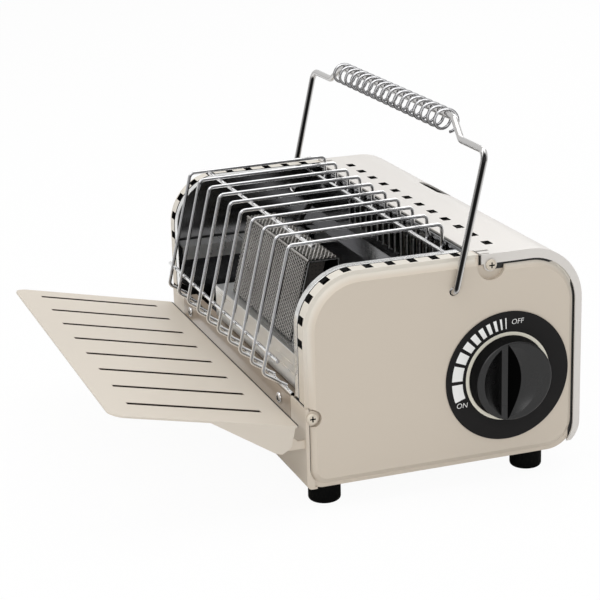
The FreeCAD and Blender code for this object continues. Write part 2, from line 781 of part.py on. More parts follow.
def burner_section(inset):
    """The burner box across X: its front leans back."""
    lean = (BURNER_FRONT_TOP - BURNER_FRONT_BOTTOM) / (BURNER_TOP - BURNER_BOTTOM)
    slant = inset * math.hypot(1, lean)
    low = BURNER_BOTTOM + inset
    high = BURNER_TOP - inset
    y_low = BURNER_FRONT_BOTTOM + slant + lean * inset
    y_high = BURNER_FRONT_TOP + slant - lean * inset
    return [(y_low, low), (y_high, high), (BURNER_BACK - inset, high), (BURNER_BACK - inset, low)]


def burner_box():
    """The burner's sheet box, open at the dial end and windowed in front."""
    outer = side_solid(burner_section(0), [0] * 4, BURNER_X0, BURNER_X1)
    inner = side_solid(burner_section(BURNER_SHEET), [0] * 4, BURNER_X0 + BURNER_SHEET, BURNER_X1 + CUT)
    shell = outer.cut(inner)
    window = box(BURNER_X0 + BURNER_FRAME, BURNER_X1 - BURNER_FRAME, BURNER_FRONT_BOTTOM - CUT,
                 BURNER_FRONT_TOP + BURNER_SHEET + CUT, BURNER_BOTTOM + BURNER_FRAME, BURNER_TOP - BURNER_FRAME)
    neck = rod_z(BURNER_BOTTOM - CUT, BURNER_BOTTOM + BURNER_SHEET + CUT, NECK_X, neck_y(), TUBE_RADIUS + RUN_GAP)
    return shell.cut(window).cut(neck)


def neck_y():
    return (BURNER_BACK + BURNER_FRONT_BOTTOM) / 2


def ceramic_plaque():
    """The glowing ceramic block just behind the window of the burner box."""
    (y_low, low), (y_high, high) = burner_section(BURNER_SHEET)[:2]
    points = [(y_low, low), (y_high, high), (y_high + PLAQUE_DEPTH, high), (y_low + PLAQUE_DEPTH, low)]
    return side_solid(points, [0] * 4, BURNER_X0 + BURNER_SHEET + PLAQUE_GAP, BURNER_X1 - PLAQUE_GAP)


def burner_mesh():
    """The mesh sheet over the front and the top of the burner box."""
    outer = side_solid(burner_section(-MESH_SHEET), [0] * 4, BURNER_X0, BURNER_X1)
    x0 = BURNER_X0 - CUT
    x1 = BURNER_X1 + CUT
    y0 = BURNER_FRONT_BOTTOM - 2 * MESH_SHEET - CUT
    y1 = BURNER_BACK + MESH_SHEET + CUT
    inner = side_solid(burner_section(0), [0] * 4, x0, x1)
    behind = box(x0, x1, BURNER_BACK, y1, BURNER_BOTTOM - MESH_SHEET - CUT, BURNER_TOP + MESH_SHEET + CUT)
    below = box(x0, x1, y0, y1, BURNER_BOTTOM - MESH_SHEET - CUT, BURNER_BOTTOM + SEAT_GAP)
    return outer.cut(inner).cut(behind).cut(below)


def ledge_end():
    return FLANGE_X - LEDGE_END_GAP


def burner_ledge():
    """The bright ledge that carries the burner, with its front face turned down."""
    z1 = BURNER_BOTTOM
    x1 = ledge_end()
    top = box(LEDGE_X0, x1, LEDGE_FRONT, BURNER_BACK + LEDGE_BACK_LAP, z1 - SHEET, z1)
    face = box(LEDGE_X0, x1, LEDGE_FRONT, LEDGE_FRONT + SHEET, LEDGE_BOTTOM, z1)
    ledge = fused([top, face])
    return ledge.cut(rod_z(z1 - SHEET - CUT, z1 + CUT, NECK_X, neck_y(), TUBE_RADIUS + RUN_GAP))


def ledge_legs():
    """Two legs that hold the ledge up from the floor reflector."""
    legs = []
    for x in (LEDGE_X0 + LEG_INSET, ledge_end() - LEG_INSET - SHEET):
        legs.append(box(x, x + SHEET, FRONT + RAIL_SHELF + SHEET, BURNER_BACK + LEG_INSET,
                        FLOOR_Z + SHEET, BURNER_BOTTOM - SHEET))
    return Part.makeCompound(legs)


def floor_reflector():
    """A bright plate over the pan with its four sides turned down to stand on it."""
    y1 = DIVIDER_LOW_Y - SHEET_GAP
    outer = box(-FLOOR_HALF, FLOOR_HALF, FLOOR_FRONT, y1, BOTTOM + SHEET, FLOOR_Z + SHEET)
    inner = box(-FLOOR_HALF + SHEET, FLOOR_HALF - SHEET, FLOOR_FRONT + SHEET, y1 - SHEET, BOTTOM, FLOOR_Z)
    return outer.cut(inner)


def side_shelf():
    """The folded shelf on the plain end's inner side, with a skirt turned down."""
    x0 = -(PLATE_X - SEAT_GAP)
    y0 = FRONT + SHELF_FRONT_GAP
    y1 = DIVIDER_LOW_Y - SHELF_REAR_GAP
    shelf = box(x0, SHELF_X, y0, y1, SHELF_Z, SHELF_Z + SHEET)
    skirt = box(SHELF_X - SHEET, SHELF_X, y0, y1, SHELF_Z - SHELF_SKIRT, SHELF_Z)
    return fused([shelf, skirt])


# Gas train

def pipe_x():
    return PLATE_X - PIPE_INSET


def valve_body():
    """The valve behind the knob, with a boss for the pipe and a bridge to the regulator."""
    x1 = PLATE_X - SEAT_GAP
    x0 = x1 - VALVE_LENGTH
    barrel = rod_x(x0, x1, KNOB_Y, KNOB_Z, VALVE_RADIUS)
    flange = rod_x(x1 - VALVE_FLANGE_THICK, x1, KNOB_Y, KNOB_Z, VALVE_FLANGE)
    boss = rod_y(KNOB_Y - VALVE_RADIUS - VALVE_BOSS_LENGTH, KNOB_Y, pipe_x(), KNOB_Z, PIPE_RADIUS + VALVE_BOSS_WALL)
    bridge = box(x0, x0 + BRIDGE_LENGTH, KNOB_Y - BRIDGE_HALF, KNOB_Y + BRIDGE_HALF,
                 CARTRIDGE_Z - BRIDGE_HALF, KNOB_Z)
    bore = rod_x(PLATE_X - STEM_INNER - CUT, x1 + CUT, KNOB_Y, KNOB_Z, STEM_RADIUS + RUN_GAP)
    return fused([barrel, flange, boss, bridge]).cut(bore)


def valve_stem():
    x1 = HALF_LENGTH + KNOB_GAP + KNOB_SOCKET
    stem = rod_x(PLATE_X - STEM_INNER, x1, KNOB_Y, KNOB_Z, STEM_RADIUS)
    return stem.cut(stem_flat(HALF_LENGTH + KNOB_GAP, x1 + CUT))


def stem_flat(x0, x1):
    """What is missing from the stem's round section above its flat."""
    half = STEM_RADIUS + CUT
    return box(x0, x1, KNOB_Y - half, KNOB_Y + half, KNOB_Z + STEM_RADIUS - STEM_FLAT, KNOB_Z + half)


def regulator():
    x0 = COLLAR_X
    x1 = x0 + REGULATOR_LENGTH
    barrel = rod_x(x0, x1, CARTRIDGE_Y, CARTRIDGE_Z, REGULATOR_RADIUS)
    cap = rod_x(x1, PLATE_X - VALVE_LENGTH - 2 * SEAT_GAP, CARTRIDGE_Y, CARTRIDGE_Z, REGULATOR_CAP)
    return fused([barrel, cap])


def cartridge_collar():
    """The notched ring that a cartridge's neck is turned into."""
    x0 = COLLAR_X - COLLAR_DEPTH - CUT
    ring = rod_x(COLLAR_X - COLLAR_DEPTH, COLLAR_X, CARTRIDGE_Y, CARTRIDGE_Z, COLLAR_OUTER)
    ring = ring.cut(rod_x(x0, COLLAR_X - COLLAR_FLOOR, CARTRIDGE_Y, CARTRIDGE_Z, COLLAR_BORE))
    notch = box(x0, COLLAR_X - NOTCH_SILL, CARTRIDGE_Y - NOTCH_HALF, CARTRIDGE_Y + NOTCH_HALF,
                CARTRIDGE_Z + COLLAR_BORE - CUT, CARTRIDGE_Z + COLLAR_OUTER + CUT)
    return ring.cut(notch)


def collar_bracket():
    """A plate that carries the collar from the pan's floor."""
    x0 = COLLAR_X + SEAT_GAP
    y0 = CARTRIDGE_Y - BRACKET_HALF
    y1 = CARTRIDGE_Y + BRACKET_HALF
    low = BOTTOM + SHEET
    plate = box(x0, x0 + BRACKET_PLATE, y0, y1, low, CARTRIDGE_Z + COLLAR_OUTER)
    foot_plate = box(x0, x0 + BRACKET_FOOT, y0, y1, low, low + BRACKET_PLATE)
    hole = rod_x(x0 - CUT, x0 + BRACKET_PLATE + CUT, CARTRIDGE_Y, CARTRIDGE_Z, REGULATOR_RADIUS + RUN_GAP)
    return fused([plate, foot_plate]).cut(hole)


def cartridge_cradle():
    """Two saddles under the cartridge, near its neck and near its base."""
    saddles = []
    for reach in (CRADLE_NEAR, CRADLE_FAR):
        x = COLLAR_X - reach
        block = box(x, x + CRADLE_THICK, CARTRIDGE_Y - CRADLE_HALF, CARTRIDGE_Y + CRADLE_HALF,
                    BOTTOM + SHEET, CARTRIDGE_Z)
        saddles.append(block.cut(rod_x(x - CUT, x + CRADLE_THICK + CUT, CARTRIDGE_Y, CARTRIDGE_Z,
                                       CARTRIDGE_RADIUS + SHEET_GAP)))
    return Part.makeCompound(saddles)


def jet_end():
    return TUBE_X1 + JET_GAP


def gas_pipe():
    points = [V(pipe_x(), KNOB_Y - VALVE_RADIUS - VALVE_BOSS_LENGTH, KNOB_Z), V(pipe_x(), JET_Y, KNOB_Z),
              V(jet_end(), JET_Y, KNOB_Z)]
    return tube_along(open_path(points, [PIPE_BEND]), PIPE_RADIUS)


def gas_jet():
    x1 = jet_end()
    x0 = x1 - JET_BODY
    body = rod_x(x0, x1, JET_Y, KNOB_Z, JET_BODY_RADIUS)
    tip = Part.makeCone(JET_TIP_SMALL, JET_TIP_LARGE, JET_TIP, V(x0 - JET_TIP, JET_Y, KNOB_Z), X_AXIS)
    return fused([body, tip])


def mixing_shape(radius, extra):
    """The tube's form at one radius: along X, across to the neck and up into the burner."""
    along = rod_x(TUBE_X0 + (TUBE_WALL if extra else 0), TUBE_X1 + extra, JET_Y, KNOB_Z, radius)
    across = rod_y(neck_y(), JET_Y, NECK_X, KNOB_Z, radius)
    neck = rod_z(KNOB_Z, BURNER_BOTTOM + BURNER_SHEET + extra, NECK_X, neck_y(), radius)
    elbow = Part.makeSphere(radius, V(NECK_X, neck_y(), KNOB_Z))
    return along.multiFuse([across, neck, elbow])


def mixing_tube():
    return mixing_shape(TUBE_RADIUS, 0).cut(mixing_shape(TUBE_RADIUS - TUBE_WALL, CUT))


# Ignition

def piezo_igniter():
    """The spark unit lying on the valve's barrel, its front end against the flange."""
    x1 = PLATE_X - VALVE_FLANGE_THICK - 2 * SEAT_GAP
    z = KNOB_Z + VALVE_RADIUS + PIEZO_RADIUS + SEAT_GAP
    return rod_x(x1 - PIEZO_LENGTH, x1, KNOB_Y, z, PIEZO_RADIUS)


# Dial and knob

def dial_ring():
    x0 = HALF_LENGTH
    x1 = HALF_LENGTH + DIAL_THICK
    return rod_x(x0, x1, KNOB_Y, KNOB_Z, DIAL_OUTER).cut(rod_x(x0 - CUT, x1 + CUT, KNOB_Y, KNOB_Z, DIAL_INNER))


def control_knob():
    """A thick round knob, scooped on both sides of a narrow ridge that is its pointer."""
    x0 = HALF_LENGTH + KNOB_GAP
    face = x0 + KNOB_HEIGHT
    body = Part.makeCone(KNOB_RADIUS, KNOB_FACE_RADIUS, KNOB_HEIGHT, V(x0, KNOB_Y, KNOB_Z), X_AXIS)
    rim = [e for e in body.Edges if e.Closed and abs(e.BoundBox.XMin - face) < TINY_BOX]
    knob = body.makeFillet(KNOB_ROUND, rim)
    for side in (-1, 1):
        knob = knob.cut(knob_scoop(face, side))
    socket = rod_x(x0 - CUT, x0 + KNOB_SOCKET, KNOB_Y, KNOB_Z, STEM_RADIUS)
    return knob.cut(socket.cut(stem_flat(x0 - 2 * CUT, x0 + KNOB_SOCKET + CUT)))


def knob_scoop(face, side):
    """The hollow on one side of the ridge: part of a ball whose middle is beyond the face."""
    ball = Part.makeSphere(SCOOP_RADIUS, V(face + SCOOP_RADIUS - SCOOP_DEPTH, KNOB_Y - side * SCOOP_OFFSET, KNOB_Z))
    near = KNOB_Y + side * KNOB_RIDGE / 2
    far = KNOB_Y + side * SCOOP_RADIUS
    room = box(face - SCOOP_DEPTH - CUT, face + SCOOP_RADIUS, min(near, far), max(near, far),
               KNOB_Z - SCOOP_RADIUS, KNOB_Z + SCOOP_RADIUS)
    return ball.common(room)


# Cartridge cover

def cover_lip_radius():
    """The lip's inner edge follows the cover's bend between its two depths."""
    return COVER_RADIUS - (COVER_LIP_DEPTH + COVER_REAR_LIP) / 2


def cover_solid(top_inset, rear_inset, top_radius, heel_radius, overrun, half_length):
    """The cover's outline, inset from its outside, its front edge run past by an overrun."""
    front = COVER_FRONT - overrun
    low = BOTTOM + COVER_HEEL_RADIUS - heel_radius
    top = TOP - top_inset
    rear = REAR - rear_inset
    points = [(front, low), (front, top), (rear, top), (rear, low)]
    return side_solid(points, [0, 0, top_radius, heel_radius], -half_length, half_length)


def cartridge_cover():
    end = COVER_END_X + CUT
    sheet = COVER_SHEET
    shell = cover_solid(0, 0, COVER_RADIUS, COVER_HEEL_RADIUS, 0, COVER_END_X)
    shell = shell.cut(cover_solid(sheet, sheet, COVER_RADIUS - sheet, COVER_HEEL_RADIUS - sheet, CUT, COVER_LIP_X))
    shell = shell.cut(cover_solid(COVER_LIP_DEPTH, COVER_REAR_LIP, cover_lip_radius(), COVER_LIP_HEEL, CUT, end))
    shell = shell.cut(box(-end, end, 0, REAR + CUT, 0, COVER_BOTTOM))
    corner = box(COVER_TAB_X, end, 0, COVER_TAB_FRONT, COVER_BOTTOM, TOP + CUT)
    strip = box(PLATE_X - SHEET_GAP, COVER_LIP_X, 0, COVER_PIVOT_Y, COVER_BOTTOM, TOP + CUT)
    for cut in (corner, strip):
        shell = shell.cut(cut).cut(mirrored(cut))
    ear = rod_x(COVER_LIP_X, COVER_END_X, COVER_PIVOT_Y, COVER_PIVOT_Z, COVER_EAR_RADIUS)
    shell = fused([shell, ear, mirrored(ear)])
    pivot = rod_x(COVER_LIP_X - CUT, end, COVER_PIVOT_Y, COVER_PIVOT_Z, SCREW_SHANK + RUN_GAP)
    for cut in [pivot, mirrored(pivot), finger_slot()] + cover_vents() + cover_slits():
        shell = shell.cut(cut)
    return shell


def cover_vents():
    cuts = []
    half_x = COVER_VENT_LENGTH / 2
    half_y = COVER_VENT_WIDTH / 2
    for i in range(COVER_VENT_COUNT):
        x = COVER_VENT_SHIFT + (i - (COVER_VENT_COUNT - 1) / 2) * COVER_VENT_PITCH
        cuts.append(box(x - half_x, x + half_x, COVER_VENT_Y - half_y, COVER_VENT_Y + half_y,
                        TOP - COVER_SHEET - CUT, TOP + CUT))
    return cuts


def cover_slits():
    slit = box(COVER_SLIT_X, COVER_SLIT_X + COVER_SLIT_WIDTH, COVER_FRONT - CUT, COVER_FRONT + COVER_SLIT_LENGTH,
               TOP - COVER_SHEET - CUT, TOP + CUT)
    return [slit, mirrored(slit)]


def finger_slot():
    """The long hole that a finger lifts the cover by."""
    radius = FINGER_WIDTH / 2
    x0 = FINGER_X - FINGER_LENGTH / 2 + radius
    x1 = FINGER_X + FINGER_LENGTH / 2 - radius
    low = TOP - COVER_RADIUS
    high = TOP + CUT
    return fused([box(x0, x1, FINGER_Y - radius, FINGER_Y + radius, low, high),
                  rod_z(low, high, x0, FINGER_Y, radius), rod_z(low, high, x1, FINGER_Y, radius)])


def cover_pivot_screws():
    place = V(COVER_END_X + SHEET_GAP, COVER_PIVOT_Y, COVER_PIVOT_Z)
    return both_ends(screw_at(place, X_AXIS))


def pan_corner_screws():
    place = V(COVER_END_X, PAN_EAR_Y, PAN_EAR_Z)
    return both_ends(screw_at(place, X_AXIS))


def rail_screws():
    place = V(RAIL_SCREW_X, FRONT, RAIL_SCREW_Z)
    return both_ends(screw_at(place, V(0, -1, 0), RAIL_SCREW_LENGTH))


# Tray

def tray_point(x, along, lift):
    """A place on the tray: along it from the hinge edge, and above its top face."""
    tilt = math.radians(TRAY_TILT)
    y = TRAY_HINGE_Y - along * math.cos(tilt) + lift * math.sin(tilt)
    z = TRAY_HINGE_Z + along * math.sin(tilt) + lift * math.cos(tilt)
    return V(x, y, z)


def tray_normal():
    return (tray_point(0, 0, 1) - tray_point(0, 0, 0)).normalize()


def tray_slab(corners, radii, low, high):
    """A plate in the tray's plane between two levels below its top face."""
    points = [tray_point(x, along, low) for x, along in corners]
    return Part.Face(rounded_wire(points, radii)).extrude(tray_normal() * (high - low))


def tray_side(x0, x1):
    """The tapering side flange, deepest beside the housing."""
    deep = TRAY_FLANGE_DEPTH
    start = TRAY_FLANGE_START
    profile = [(start, 0), (start, -deep + TRAY_BACK_BEND), (TRAY_LOW_START, -deep),
               (TRAY_LOW_END, -deep + SHEET / 2), (TRAY_FLANGE_LENGTH, -SHEET), (TRAY_FLANGE_LENGTH, 0)]
    radii = [0, TRAY_BACK_BEND, TRAY_LOW_BEND, TRAY_BACK_BEND, 0, 0]
    points = [tray_point(x0, along, lift) for along, lift in profile]
    return Part.Face(rounded_wire(points, radii)).extrude(V(x1 - x0, 0, 0))


def front_tray():
    corners = [(TRAY_X0, 0), (TRAY_X0, TRAY_DEPTH), (TRAY_X1, TRAY_DEPTH), (TRAY_X1, 0)]
    sheet = tray_slab(corners, [TRAY_INNER_CORNER, TRAY_CORNER, TRAY_CORNER, TRAY_INNER_CORNER], -SHEET, 0)
    near = tray_side(TRAY_X1 - SHEET, TRAY_X1)
    far = tray_side(TRAY_X0, TRAY_X0 + SHEET)
    tray = fused([sheet, near, far])
    half = TRAY_SLOT_WIDTH / 2
    for i in range(TRAY_SLOTS):
        x = (i - (TRAY_SLOTS - 1) / 2) * TRAY_SLOT_PITCH
        slot = tray_slab([(x - half, TRAY_SLOT_START), (x - half, TRAY_SLOT_END), (x + half, TRAY_SLOT_END),
                          (x + half, TRAY_SLOT_START)], [half - RUN_GAP] * 4, -SHEET - CUT, CUT)
        tray = tray.cut(slot)
    return tray


def bracket_places():
    """Inner faces of the two tray flanges, each with the way towards the middle."""
    return [(TRAY_X1 - SHEET, -1), (TRAY_X0 + SHEET, 1)]


def bracket_outline():
    """The arm below the tray's pin: its top steps down where the tray's edge swings past."""
    bottom = TRAY_PIN_Z - BRACKET_DROP
    top = TRAY_PIN_Z - BRACKET_TOP_DROP
    low = TRAY_PIN_Z - BRACKET_LOW_DROP
    neck = TRAY_PIN_Y + BRACKET_NECK
    return [(TRAY_PIN_Y, bottom), (TRAY_PIN_Y, top), (neck, top), (neck + BRACKET_SLOPE, low), (FRONT, low),
            (FRONT, bottom)]


def tray_brackets():
    """Two eyes on arms that stand out from the pan's front wall."""
    brackets = []
    for flange_x, inward in bracket_places():
        a = flange_x + inward * SHEET_GAP
        b = a + inward * BRACKET_THICK
        x0 = min(a, b)
        x1 = max(a, b)
        eye = rod_x(x0, x1, TRAY_PIN_Y, TRAY_PIN_Z, BRACKET_RADIUS)
        arm = side_solid(bracket_outline(), [0] * 6, x0, x1)
        hole = rod_x(x0 - CUT, x1 + CUT, TRAY_PIN_Y, TRAY_PIN_Z, TRAY_PIN_RADIUS + RUN_GAP)
        brackets.append(fused([eye, arm]).cut(hole))
    return Part.makeCompound(brackets)


def tray_pins():
    """Stub pins on the inner faces of the tray's flanges, each with a turned-over end."""
    pins = []
    for flange_x, inward in bracket_places():
        inner = flange_x + inward * (2 * SHEET_GAP + BRACKET_THICK)
        end = inner + inward * TRAY_PIN_HEAD_THICK
        shaft = rod_x(min(flange_x, inner), max(flange_x, inner), TRAY_PIN_Y, TRAY_PIN_Z, TRAY_PIN_RADIUS)
        head = rod_x(min(inner, end), max(inner, end), TRAY_PIN_Y, TRAY_PIN_Z, TRAY_PIN_HEAD)
        pins.append(fused([shaft, head]))
    return Part.makeCompound(pins)


# Bail and spring grip

def bail_tilt(shape):
    shape.rotate(V(0, BAIL_PIVOT_Y, BAIL_PIVOT_Z), X_AXIS, -BAIL_LEAN)
    return shape


def handle_bail():
    y = BAIL_PIVOT_Y
    corner_z = BAIL_PIVOT_Z + BAIL_CORNER_RISE
    grip_z = BAIL_PIVOT_Z + BAIL_GRIP_RISE
    half = [V(BAIL_END_X, y, BAIL_PIVOT_Z), V(BAIL_X, y, BAIL_PIVOT_Z), V(BAIL_X, y, corner_z),
            V(BAIL_JOG_OUT, y, corner_z), V(BAIL_JOG_IN, y, grip_z)]
    other = [V(-p.x, p.y, p.z) for p in reversed(half)]
    radii = [BAIL_END_BEND, BAIL_BEND, BAIL_BEND, BAIL_BEND]
    return bail_tilt(tube_along(open_path(half + other, radii + radii[::-1]), BAIL_WIRE))


def grip_axis():
    """The spring hangs on the bail's grip bar: its axis lies below the bar."""
    lean = math.radians(BAIL_LEAN)
    bar_y = BAIL_PIVOT_Y + BAIL_GRIP_RISE * math.sin(lean)
    bar_z = BAIL_PIVOT_Z + BAIL_GRIP_RISE * math.cos(lean)
    drop = GRIP_OUTER - 2 * GRIP_WIRE - BAIL_WIRE - GRIP_GAP
    return bar_y, bar_z - drop


def helix_point(turn):
    """A place on the spring and the way it runs there, from the turns so far."""
    y0, z0 = grip_axis()
    mean = GRIP_OUTER - GRIP_WIRE
    angle = 2 * math.pi * turn
    pitch = GRIP_LENGTH / GRIP_TURNS
    place = V(GRIP_SHIFT - GRIP_LENGTH / 2 + pitch * turn, y0 + mean * math.cos(angle), z0 + mean * math.sin(angle))
    way = V(pitch, -2 * math.pi * mean * math.sin(angle), 2 * math.pi * mean * math.cos(angle))
    return place, way.normalize()


def arc_from(start, control, end):
    """An arc that leaves start towards the control point and ends at end."""
    chord_middle = (start + end) * 0.5
    cosine = (chord_middle - start).Length / (control - start).Length
    middle = chord_middle + (control - chord_middle) * (cosine / (1 + cosine))
    return Part.Arc(start, middle, end).toShape()


def biarc(start, start_way, end, end_way):
    chord = end - start
    both = start_way + end_way
    spread = 2 * (1 - start_way.dot(end_way))
    reach = (-chord.dot(both) + math.sqrt(chord.dot(both) ** 2 + spread * chord.dot(chord))) / spread
    first = start + start_way * reach
    second = end - end_way * reach
    joint = (first + second) * 0.5
    return [arc_from(start, first, joint), arc_from(joint, second, end)]


def handle_grip_spring():
    edges = []
    quarters = GRIP_TURNS * 4
    place, way = helix_point(0)
    edges.append(Part.LineSegment(place - way * 2 * GRIP_WIRE, place).toShape())
    for i in range(quarters):
        a, way_a = helix_point(i / 4)
        b, way_b = helix_point((i + 1) / 4)
        edges.extend(biarc(a, way_a, b, way_b))
    place, way = helix_point(GRIP_TURNS)
    edges.append(Part.LineSegment(place, place + way * 2 * GRIP_WIRE).toShape())
    return tube_along(Part.Wire(edges), GRIP_WIRE)


def spring_self_gap():
    """The least gap between turns, measured on points of the spring's middle line."""
    steps = 48
    points = [helix_point(i / steps)[0] for i in range(GRIP_TURNS * steps + 1)]
    least = 1e9
    for i in range(steps):
        for j in range(i + steps // 2, i + 2 * steps):
            least = min(least, (points[i] - points[j]).Length)
    return least - 2 * GRIP_WIRE


def build():
    """Every piece by name, still about the middle of the housing."""
    pieces = {
        "base_pan": base_pan(),
        "dial_end_panel": dial_end_panel(),
        "plain_end_panel": plain_end_panel(),
        "dial_end_liner": flange_liner(),
        "plain_end_liner": mirrored(flange_liner()),
        "front_rail": front_rail(),
        "rail_screws": rail_screws(),
        "pan_corner_screws": pan_corner_screws(),
        "foot_screws": foot_screws(),
        "divider_wall": divider_wall(),
        "floor_reflector": floor_reflector(),
        "burner_ledge": burner_ledge(),
        "ledge_legs": ledge_legs(),
        "side_shelf": side_shelf(),
        "burner_box": burner_box(),
        "ceramic_plaque": ceramic_plaque(),
        "burner_mesh": burner_mesh(),
        "mixing_tube": mixing_tube(),
        "gas_jet": gas_jet(),
        "gas_pipe": gas_pipe(),
        "valve_body": valve_body(),
        "regulator": regulator(),
        "cartridge_collar": cartridge_collar(),
        "collar_bracket": collar_bracket(),
        "cartridge_cradle": cartridge_cradle(),
        "piezo_igniter": piezo_igniter(),
        "guard_top_rail": guard_top_rail(),
        "guard_low_rail": guard_low_rail(),
        "guard_foot_rail": guard_foot_rail(),
        "guard_rear_rail": guard_rear_rail(),
        "dial_ring": dial_ring(),
        "control_knob": control_knob(),
        "valve_stem": valve_stem(),
        "cartridge_cover": cartridge_cover(),
        "cover_pivot_screws": cover_pivot_screws(),
        "front_tray": front_tray(),
        "tray_brackets": tray_brackets(),
        "tray_pins": tray_pins(),
        "handle_bail": handle_bail(),
        "handle_grip_spring": handle_grip_spring(),
    }
    for i in range(GUARD_COUNT):
        pieces["guard_wire_%02d" % i] = guard_wire(guard_wire_x(i))
    for i, (x, y) in enumerate(foot_places()):
        pieces["foot_%d" % i] = foot(x, y)
    return pieces


def main():
    os.makedirs("parts", exist_ok=True)
    for name, shape in build().items():
        shape.translate(V(-ORIGIN_X, -ORIGIN_Y, 0))
        shape.exportStep("parts/%s.step" % name)
        print(name, len(shape.Solids), "valid" if shape.isValid() else "NOT VALID", round(shape.Volume, 1))
    print("spring: least gap to itself %.2f mm" % spring_self_gap())


if __name__ == "__main__":
    main()
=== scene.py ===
import math

import bmesh
import bpy
from bpy.props import FloatProperty, FloatVectorProperty, IntProperty, PointerProperty
from mathutils import Matrix, Vector


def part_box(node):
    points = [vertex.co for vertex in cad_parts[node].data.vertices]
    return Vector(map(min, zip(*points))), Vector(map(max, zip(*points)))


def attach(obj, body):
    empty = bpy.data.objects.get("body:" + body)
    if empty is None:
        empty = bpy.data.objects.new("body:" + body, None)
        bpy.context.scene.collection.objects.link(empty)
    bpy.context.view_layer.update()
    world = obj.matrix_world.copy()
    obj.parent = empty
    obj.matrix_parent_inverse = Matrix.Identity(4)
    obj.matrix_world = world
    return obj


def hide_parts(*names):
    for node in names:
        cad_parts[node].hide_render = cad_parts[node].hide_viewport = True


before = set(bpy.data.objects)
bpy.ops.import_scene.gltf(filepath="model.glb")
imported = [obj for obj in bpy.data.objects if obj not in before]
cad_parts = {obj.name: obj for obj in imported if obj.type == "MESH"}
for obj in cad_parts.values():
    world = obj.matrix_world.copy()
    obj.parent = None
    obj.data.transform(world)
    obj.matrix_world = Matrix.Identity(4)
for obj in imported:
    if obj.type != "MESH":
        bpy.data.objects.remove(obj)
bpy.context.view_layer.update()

bl_info = {
    "name": "Table-top gas heater",
    "version": (1, 0, 0),
    "blender": (4, 5, 0),
    "location": "3D View > Sidebar > Heater",
    "description": "Dresses the packed model of a portable gas heater with its finishes and fine pieces",
    "category": "Object",
}

MM = 0.001
BODY_HALF_DEPTH = 85.0
RIM_FACE_X = 129.5
RIM_FADE = 2.6


# Places: the housing's middle, found from the front rail, and the frame's own boxes

def housing_middle():
    low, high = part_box("front_rail")
    return Vector(((low.x + high.x) / 2, low.y + BODY_HALF_DEPTH * MM, 0))


MIDDLE = housing_middle()


def at(x, y, z):
    """A place in metres from millimetres about the middle of the housing."""
    return MIDDLE + Vector((x, y, z)) * MM


def node_low(name):
    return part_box(name)[0]


def node_high(name):
    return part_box(name)[1]


# Shader node groups that several finishes share

def add_node(tree, kind, sockets=(), **settings):
    """A new node with its settings, and with values or other nodes' sockets for its inputs."""
    node = tree.nodes.new(kind)
    for key, value in settings.items():
        setattr(node, key, value)
    for key, value in dict(sockets).items():
        if isinstance(value, bpy.types.NodeSocket):
            tree.links.new(value, node.inputs[key])
        else:
            node.inputs[key].default_value = value
    return node


def object_place(tree):
    return add_node(tree, "ShaderNodeTexCoord").outputs["Object"]


def shader_group(name, inputs, outputs):
    """An empty group with float inputs and named outputs."""
    tree = bpy.data.node_groups.new(name, "ShaderNodeTree")
    for label, value in inputs:
        socket = tree.interface.new_socket(label, in_out="INPUT", socket_type="NodeSocketFloat")
        socket.default_value = value
    for label in outputs:
        tree.interface.new_socket(label, in_out="OUTPUT", socket_type="NodeSocketFloat")
    return tree, tree.nodes.new("NodeGroupInput"), tree.nodes.new("NodeGroupOutput")


def coat_grain_group():
    """Powder coat: slow changes of tone, and a fine orange peel."""
    tree, given, result = shader_group("coat_grain", [("Tone Size", 14.0), ("Peel Size", 900.0)],
                                       ["Tone", "Peel"])
    place = object_place(tree)
    for out, detail in (("Tone", 3.0), ("Peel", 1.0)):
        noise = add_node(tree, "ShaderNodeTexNoise", {"Vector": place, "Scale": given.outputs[out + " Size"],
                                                      "Detail": detail})
        tree.links.new(noise.outputs["Fac"], result.inputs[out])
    return tree


def rolling_lines_group():
    """Sheet steel: long fine lines left by the rolls, and slow cloudy changes."""
    tree, given, result = shader_group("rolling_lines", [("Along X", 6.0), ("Along Y", 500.0), ("Along Z", 500.0),
                                                         ("Cloud Size", 35.0)], ["Lines", "Cloud"])
    place = object_place(tree)
    stretch = add_node(tree, "ShaderNodeCombineXYZ", {axis: given.outputs["Along " + axis] for axis in "XYZ"})
    scaled = add_node(tree, "ShaderNodeVectorMath", {0: place, 1: stretch.outputs[0]}, operation="MULTIPLY")
    for out, vector, size, detail in (("Lines", scaled.outputs[0], 1.0, 4.0),
                                      ("Cloud", place, given.outputs["Cloud Size"], 2.0)):
        noise = add_node(tree, "ShaderNodeTexNoise", {"Vector": vector, "Scale": size, "Detail": detail})
        tree.links.new(noise.outputs["Fac"], result.inputs[out])
    return tree


PORT_EDGE = (0.25, 0.35)


def flame_ports_group():
    """Rows of small round flame ports, as a mask."""
    tree, given, result = shader_group("flame_ports", [("Port Pitch", 420.0)], ["Ports"])
    cells = add_node(tree, "ShaderNodeTexVoronoi", {"Vector": object_place(tree), "Scale": given.outputs[0],
                                                    "Randomness": 0.0}, feature="F1")
    edge = add_node(tree, "ShaderNodeMapRange", {"Value": cells.outputs["Distance"], "From Min": PORT_EDGE[0],
                                                 "From Max": PORT_EDGE[1]})
    tree.links.new(edge.outputs["Result"], result.inputs["Ports"])
    return tree


GROUP_MAKERS = {"coat_grain": coat_grain_group, "rolling_lines": rolling_lines_group, "flame_ports": flame_ports_group}


def placed_group(tree, name, **values):
    """A node that uses a shared group, which is built at its first use."""
    shared = bpy.data.node_groups.get(name) or GROUP_MAKERS[name]()
    sockets = {label.replace("_", " "): value for label, value in values.items()}
    return add_node(tree, "ShaderNodeGroup", sockets, node_tree=shared)


# Finishes

